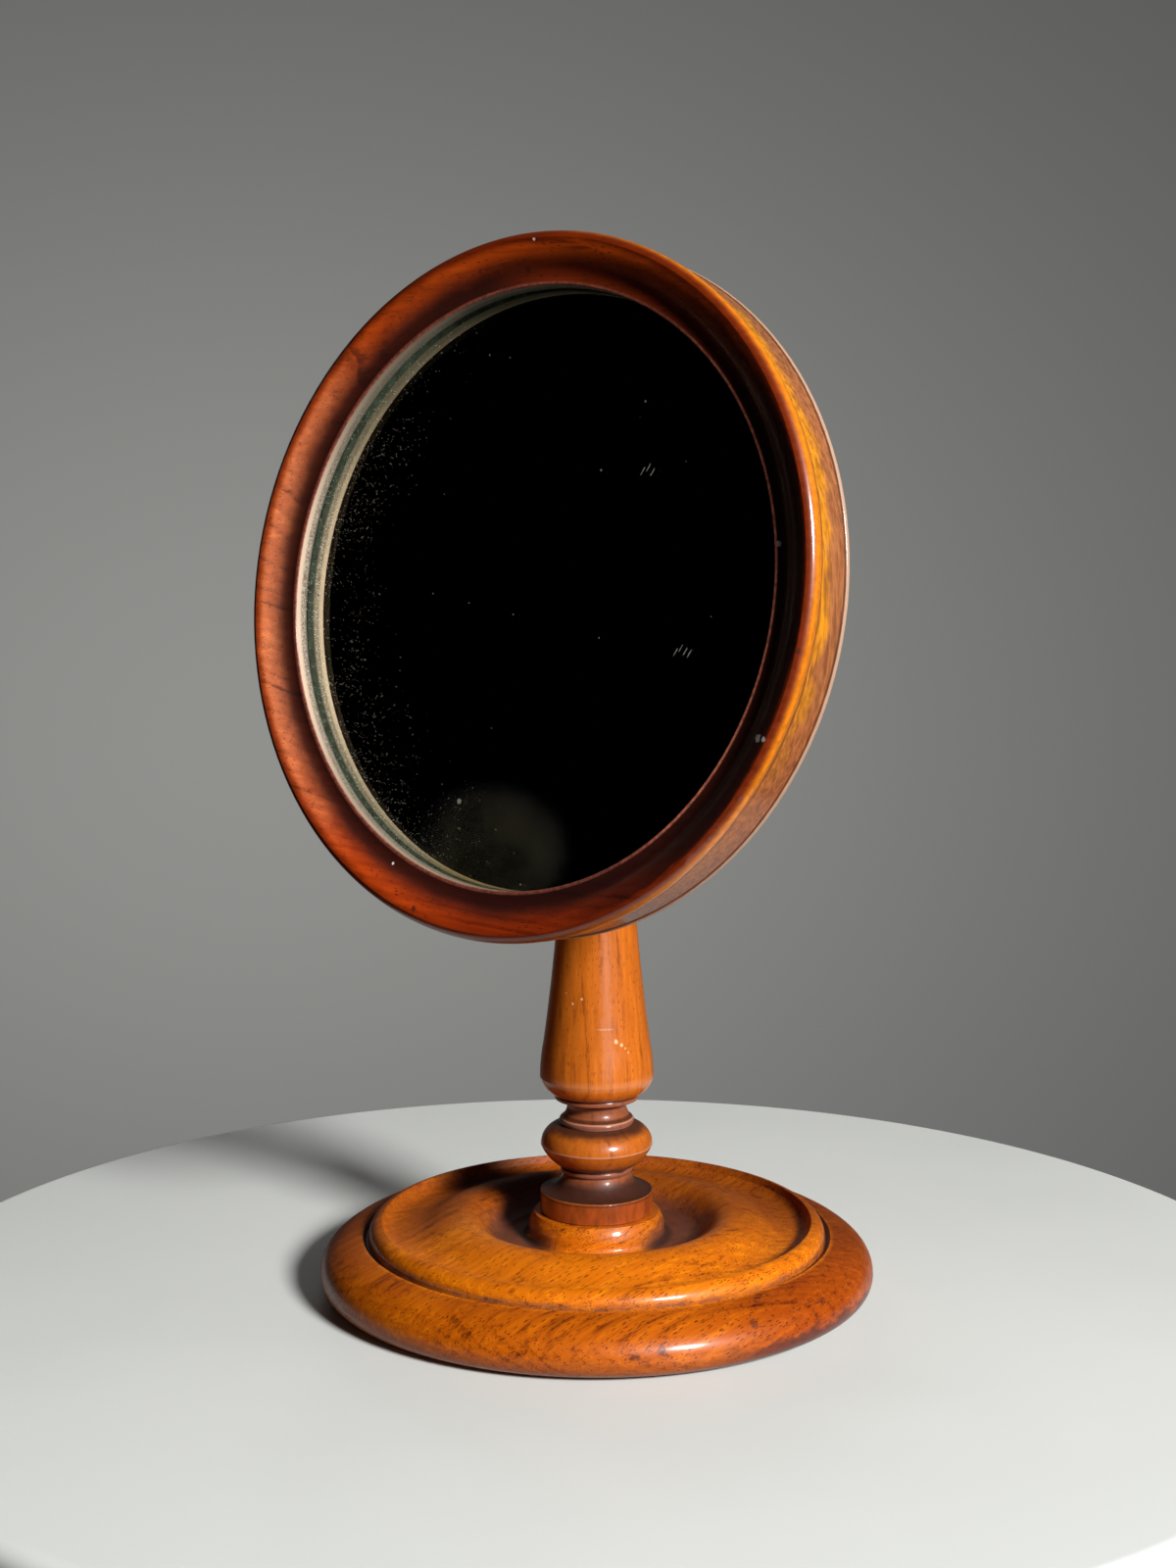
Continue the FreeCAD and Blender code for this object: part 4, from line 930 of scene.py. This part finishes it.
def baizeMesh(low, high, radius):
    # two faces of rings with an uneven nap, and a slightly ragged cut edge
    thick = high.z - low.z
    draw = random.Random(baizeLook["seed"])
    rings, segments = baizeLook["rings"], baizeLook["segments"]
    edge = [draw.uniform(0.0, baizeLook["ragged"]) for _ in range(segments)]
    verts, faces = [], []
    for side in (0, 1):
        for ring in range(1, rings + 1):
            for step in range(segments):
                angle = 2 * math.pi * step / segments
                share = ring / rings
                reach = radius * share - (edge[step] if ring == rings else 0.0)
                nap = draw.uniform(0.0, baizeLook["nap"])
                height = low.z + (nap if side == 0 else thick - nap)
                verts.append((reach * math.cos(angle), reach * math.sin(angle), height))
    layer = rings * segments
    verts += [(0.0, 0.0, low.z), (0.0, 0.0, high.z)]
    for step in range(segments):
        after = (step + 1) % segments
        faces.append((2 * layer, after, step))
        faces.append((2 * layer + 1, layer + step, layer + after))
        for ring in range(rings - 1):
            inner, outer = ring * segments, (ring + 1) * segments
            faces.append((inner + step, inner + after, outer + after, outer + step))
            above = (inner + after, inner + step, outer + step, outer + after)
            faces.append([layer + corner for corner in above])
        rim = (rings - 1) * segments
        faces.append((rim + step, rim + after, layer + rim + after, layer + rim + step))
    mesh = bpy.data.meshes.new("baizeRound")
    mesh.from_pydata(verts, [], faces)
    mesh.update()
    return mesh


def makeBaize():
    low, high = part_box("baize_pad")
    radius = (high.x - low.x) / 2
    cloth = bpy.data.objects.new("baizeRound", baizeMesh(low, high, radius))
    scene.collection.objects.link(cloth)
    material, skin, place = newMaterial("greenBaize")
    nap = noiseAt(place, *baizeLook["napNoise"])
    wear = noiseAt(place, *baizeLook["wearNoise"])
    colour = mixColour(fade(wear, *baizeLook["wearSpan"]), baizeLook["main"], baizeLook["worn"])
    dark = vectorCalc("MULTIPLY", colour, baizeLook["between"])
    feed(skin["Base Color"], mixColour(fade(nap, *baizeLook["napSpan"]), dark, colour))
    feed(skin["Roughness"], fade(nap, *baizeLook["roughSpan"]))
    skin["Sheen Weight"].default_value = baizeLook["sheen"]
    addBump(skin, nap, *baizeLook["bump"])
    cloth.data.materials.append(material)
    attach(cloth, "stand")
    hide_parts("baize_pad")


makeGlass()
makeSilver()
makeBaize()
print("glass, silvering and baize made")


# Camera at the photograph's place

camera = {
    "place": (0.4838, -0.6410, 0.2840), "dip": 7.54, "swing": 37.26, "lens": 54.0, "sensor": 36.0,
    "nearest": 0.01,
}


def makeCamera():
    lens = bpy.data.cameras.new("viewCamera")
    lens.lens, lens.sensor_width, lens.sensor_fit = camera["lens"], camera["sensor"], "AUTO"
    lens.clip_start = camera["nearest"]
    viewer = bpy.data.objects.new("viewCamera", lens)
    viewer.location = camera["place"]
    viewer.rotation_euler = (math.radians(90.0 - camera["dip"]), 0.0, math.radians(camera["swing"]))
    scene.collection.objects.link(viewer)
    scene.camera = viewer


# Stage: a pale round floor, a grey room that is dark where the mirror faces, a lamp and a faint one behind

stage = {
    "floorRadius": 0.256, "floorThickness": 0.03, "floorRound": 0.006, "floorSteps": 12,
    "floorAt": (0.002, -0.0066, -0.00005), "floor": (0.83, 0.845, 0.81), "floorShade": (0.80, 0.815, 0.78),
    "floorNoise": (0.006, 3.0), "floorSpan": (0.4, 0.65),
    "floorRoughness": 0.45, "floorShine": 0.3, "floorAway": (150.0, -250.0), "floorFar": 1.07,
    "floorUnseen": 0.3, "room": 0.009, "roomGloss": 0.5, "roomBright": 0.28, "roomDark": 0.11,
    "roomSpread": 0.1755, "roomFlatter": 1.3, "roomTint": (1.0, 1.0, 0.96),
    "roomWay": (-0.706, 0.700, -0.110), "roomAhead": (0.1, 0.5), "mirrorFaces": (-0.63, -0.75, 0.19),
    "mirrorSpan": (0.6, 0.2), "lampsAim": (0.0, 0.0, 0.15),
}

lamps = {
    "keyLamp": {"bearing": 74.5, "height": 25.5, "distance": 3.0, "size": (0.75, 0.62), "watts": 152.0,
                "shines": True},
    "backLamp": {"bearing": 222.0, "height": 8.0, "distance": 2.5, "size": (1.4, 0.5), "watts": 13.0,
                 "shines": False},
}


def seenRays(tree):
    ray = put("LightPath", tree=tree).outputs
    seen = calc("ADD", ray["Is Camera Ray"], ray["Is Glossy Ray"])
    return calc("ADD", seen, ray["Is Transmission Ray"], clamp=True)


def makeFloor():
    radius, thick, bend = stage["floorRadius"], stage["floorThickness"], stage["floorRound"]
    outline = [(0, -thick), (radius - bend, -thick)]
    for step in range(stage["floorSteps"] + 1):
        angle = math.radians(-90 + 180 * step / stage["floorSteps"])
        reach = radius - bend + bend * math.cos(angle)
        outline.append((reach, (-thick + bend if angle < 0 else -bend) + bend * math.sin(angle)))
    outline.append((0, 0))
    floor = lathe("floorPlate", outline, Matrix.Translation(stage["floorAt"]))
    material, skin, place = newMaterial("paleFloor")
    cloud = fade(noiseAt(place, *stage["floorNoise"]), *stage["floorSpan"])
    pale = mixColour(cloud, stage["floor"], stage["floorShade"])
    aside = put("SeparateXYZ", {0: place}).outputs[0]
    # a little paler away from the lamp, and it throws little light back on the wood
    seen = fade(aside, *stage["floorAway"], 1.0, stage["floorFar"])
    share = mixValue(seenRays(material.node_tree), stage["floorUnseen"], seen)
    feed(skin["Base Color"], scaled(pale, share))
    skin["Roughness"].default_value = stage["floorRoughness"]
    skin["Specular IOR Level"].default_value = stage["floorShine"]
    floor.data.materials.append(material)


def makeRoom():
    room = bpy.data.worlds.new("greyRoom")
    room.use_nodes = True
    tree = room.node_tree
    tree.nodes.clear()
    way = put("TexCoord", tree=tree).outputs["Generated"]
    bright = Vector(stage["roomWay"]).normalized()
    sideways = bright.cross(Vector((0, 0, 1))).normalized()
    across = vectorCalc("DOT_PRODUCT", way, sideways)
    rise = both(vectorCalc("DOT_PRODUCT", way, sideways.cross(bright)), stage["roomFlatter"])
    spread = calc("MULTIPLY_ADD", across, across, both(rise, rise))
    spread = calc("ADD", calc("DIVIDE", spread, stage["roomSpread"]), 1.0)
    tone = calc("MAXIMUM", calc("DIVIDE", stage["roomBright"], spread), stage["roomDark"])
    ahead = fade(vectorCalc("DOT_PRODUCT", way, bright), *stage["roomAhead"])
    tone = mixValue(ahead, stage["roomDark"], tone)
    faced = vectorCalc("DOT_PRODUCT", way, Vector(stage["mirrorFaces"]).normalized())
    direct = put("LightPath", tree=tree).outputs["Is Camera Ray"]
    unfaced = calc("MAXIMUM", direct, fade(faced, *stage["mirrorSpan"]))
    tone = both(tone, unfaced, mixValue(direct, stage["roomGloss"], 1.0))
    colour = mixColour(seenRays(tree), (stage["room"],) * 3, scaled(stage["roomTint"], tone))
    glow = put("Background", {"Color": colour, "Strength": 1.0})
    put("OutputWorld", {"Surface": glow.outputs[0]})
    scene.world = room


def makeLamp(name, look):
    bearing, height = math.radians(look["bearing"]), math.radians(look["height"])
    flat = math.cos(height)
    way = Vector((math.sin(bearing) * flat, -math.cos(bearing) * flat, math.sin(height)))
    light = bpy.data.lights.new(name, "AREA")
    light.shape, light.energy = "ELLIPSE", look["watts"]
    light.size, light.size_y = look["size"]
    lamp = bpy.data.objects.new(name, light)
    lamp.location = Vector(stage["lampsAim"]) + way * look["distance"]
    lamp.rotation_euler = way.to_track_quat("Z", "Y").to_euler()
    lamp.visible_camera = False
    lamp.visible_glossy = look["shines"]
    scene.collection.objects.link(lamp)


makeCamera()
makeFloor()
makeRoom()
for lampName, lampLook in lamps.items():
    makeLamp(lampName, lampLook)
scene.view_settings.view_transform = "Standard"
print("camera and stage made")
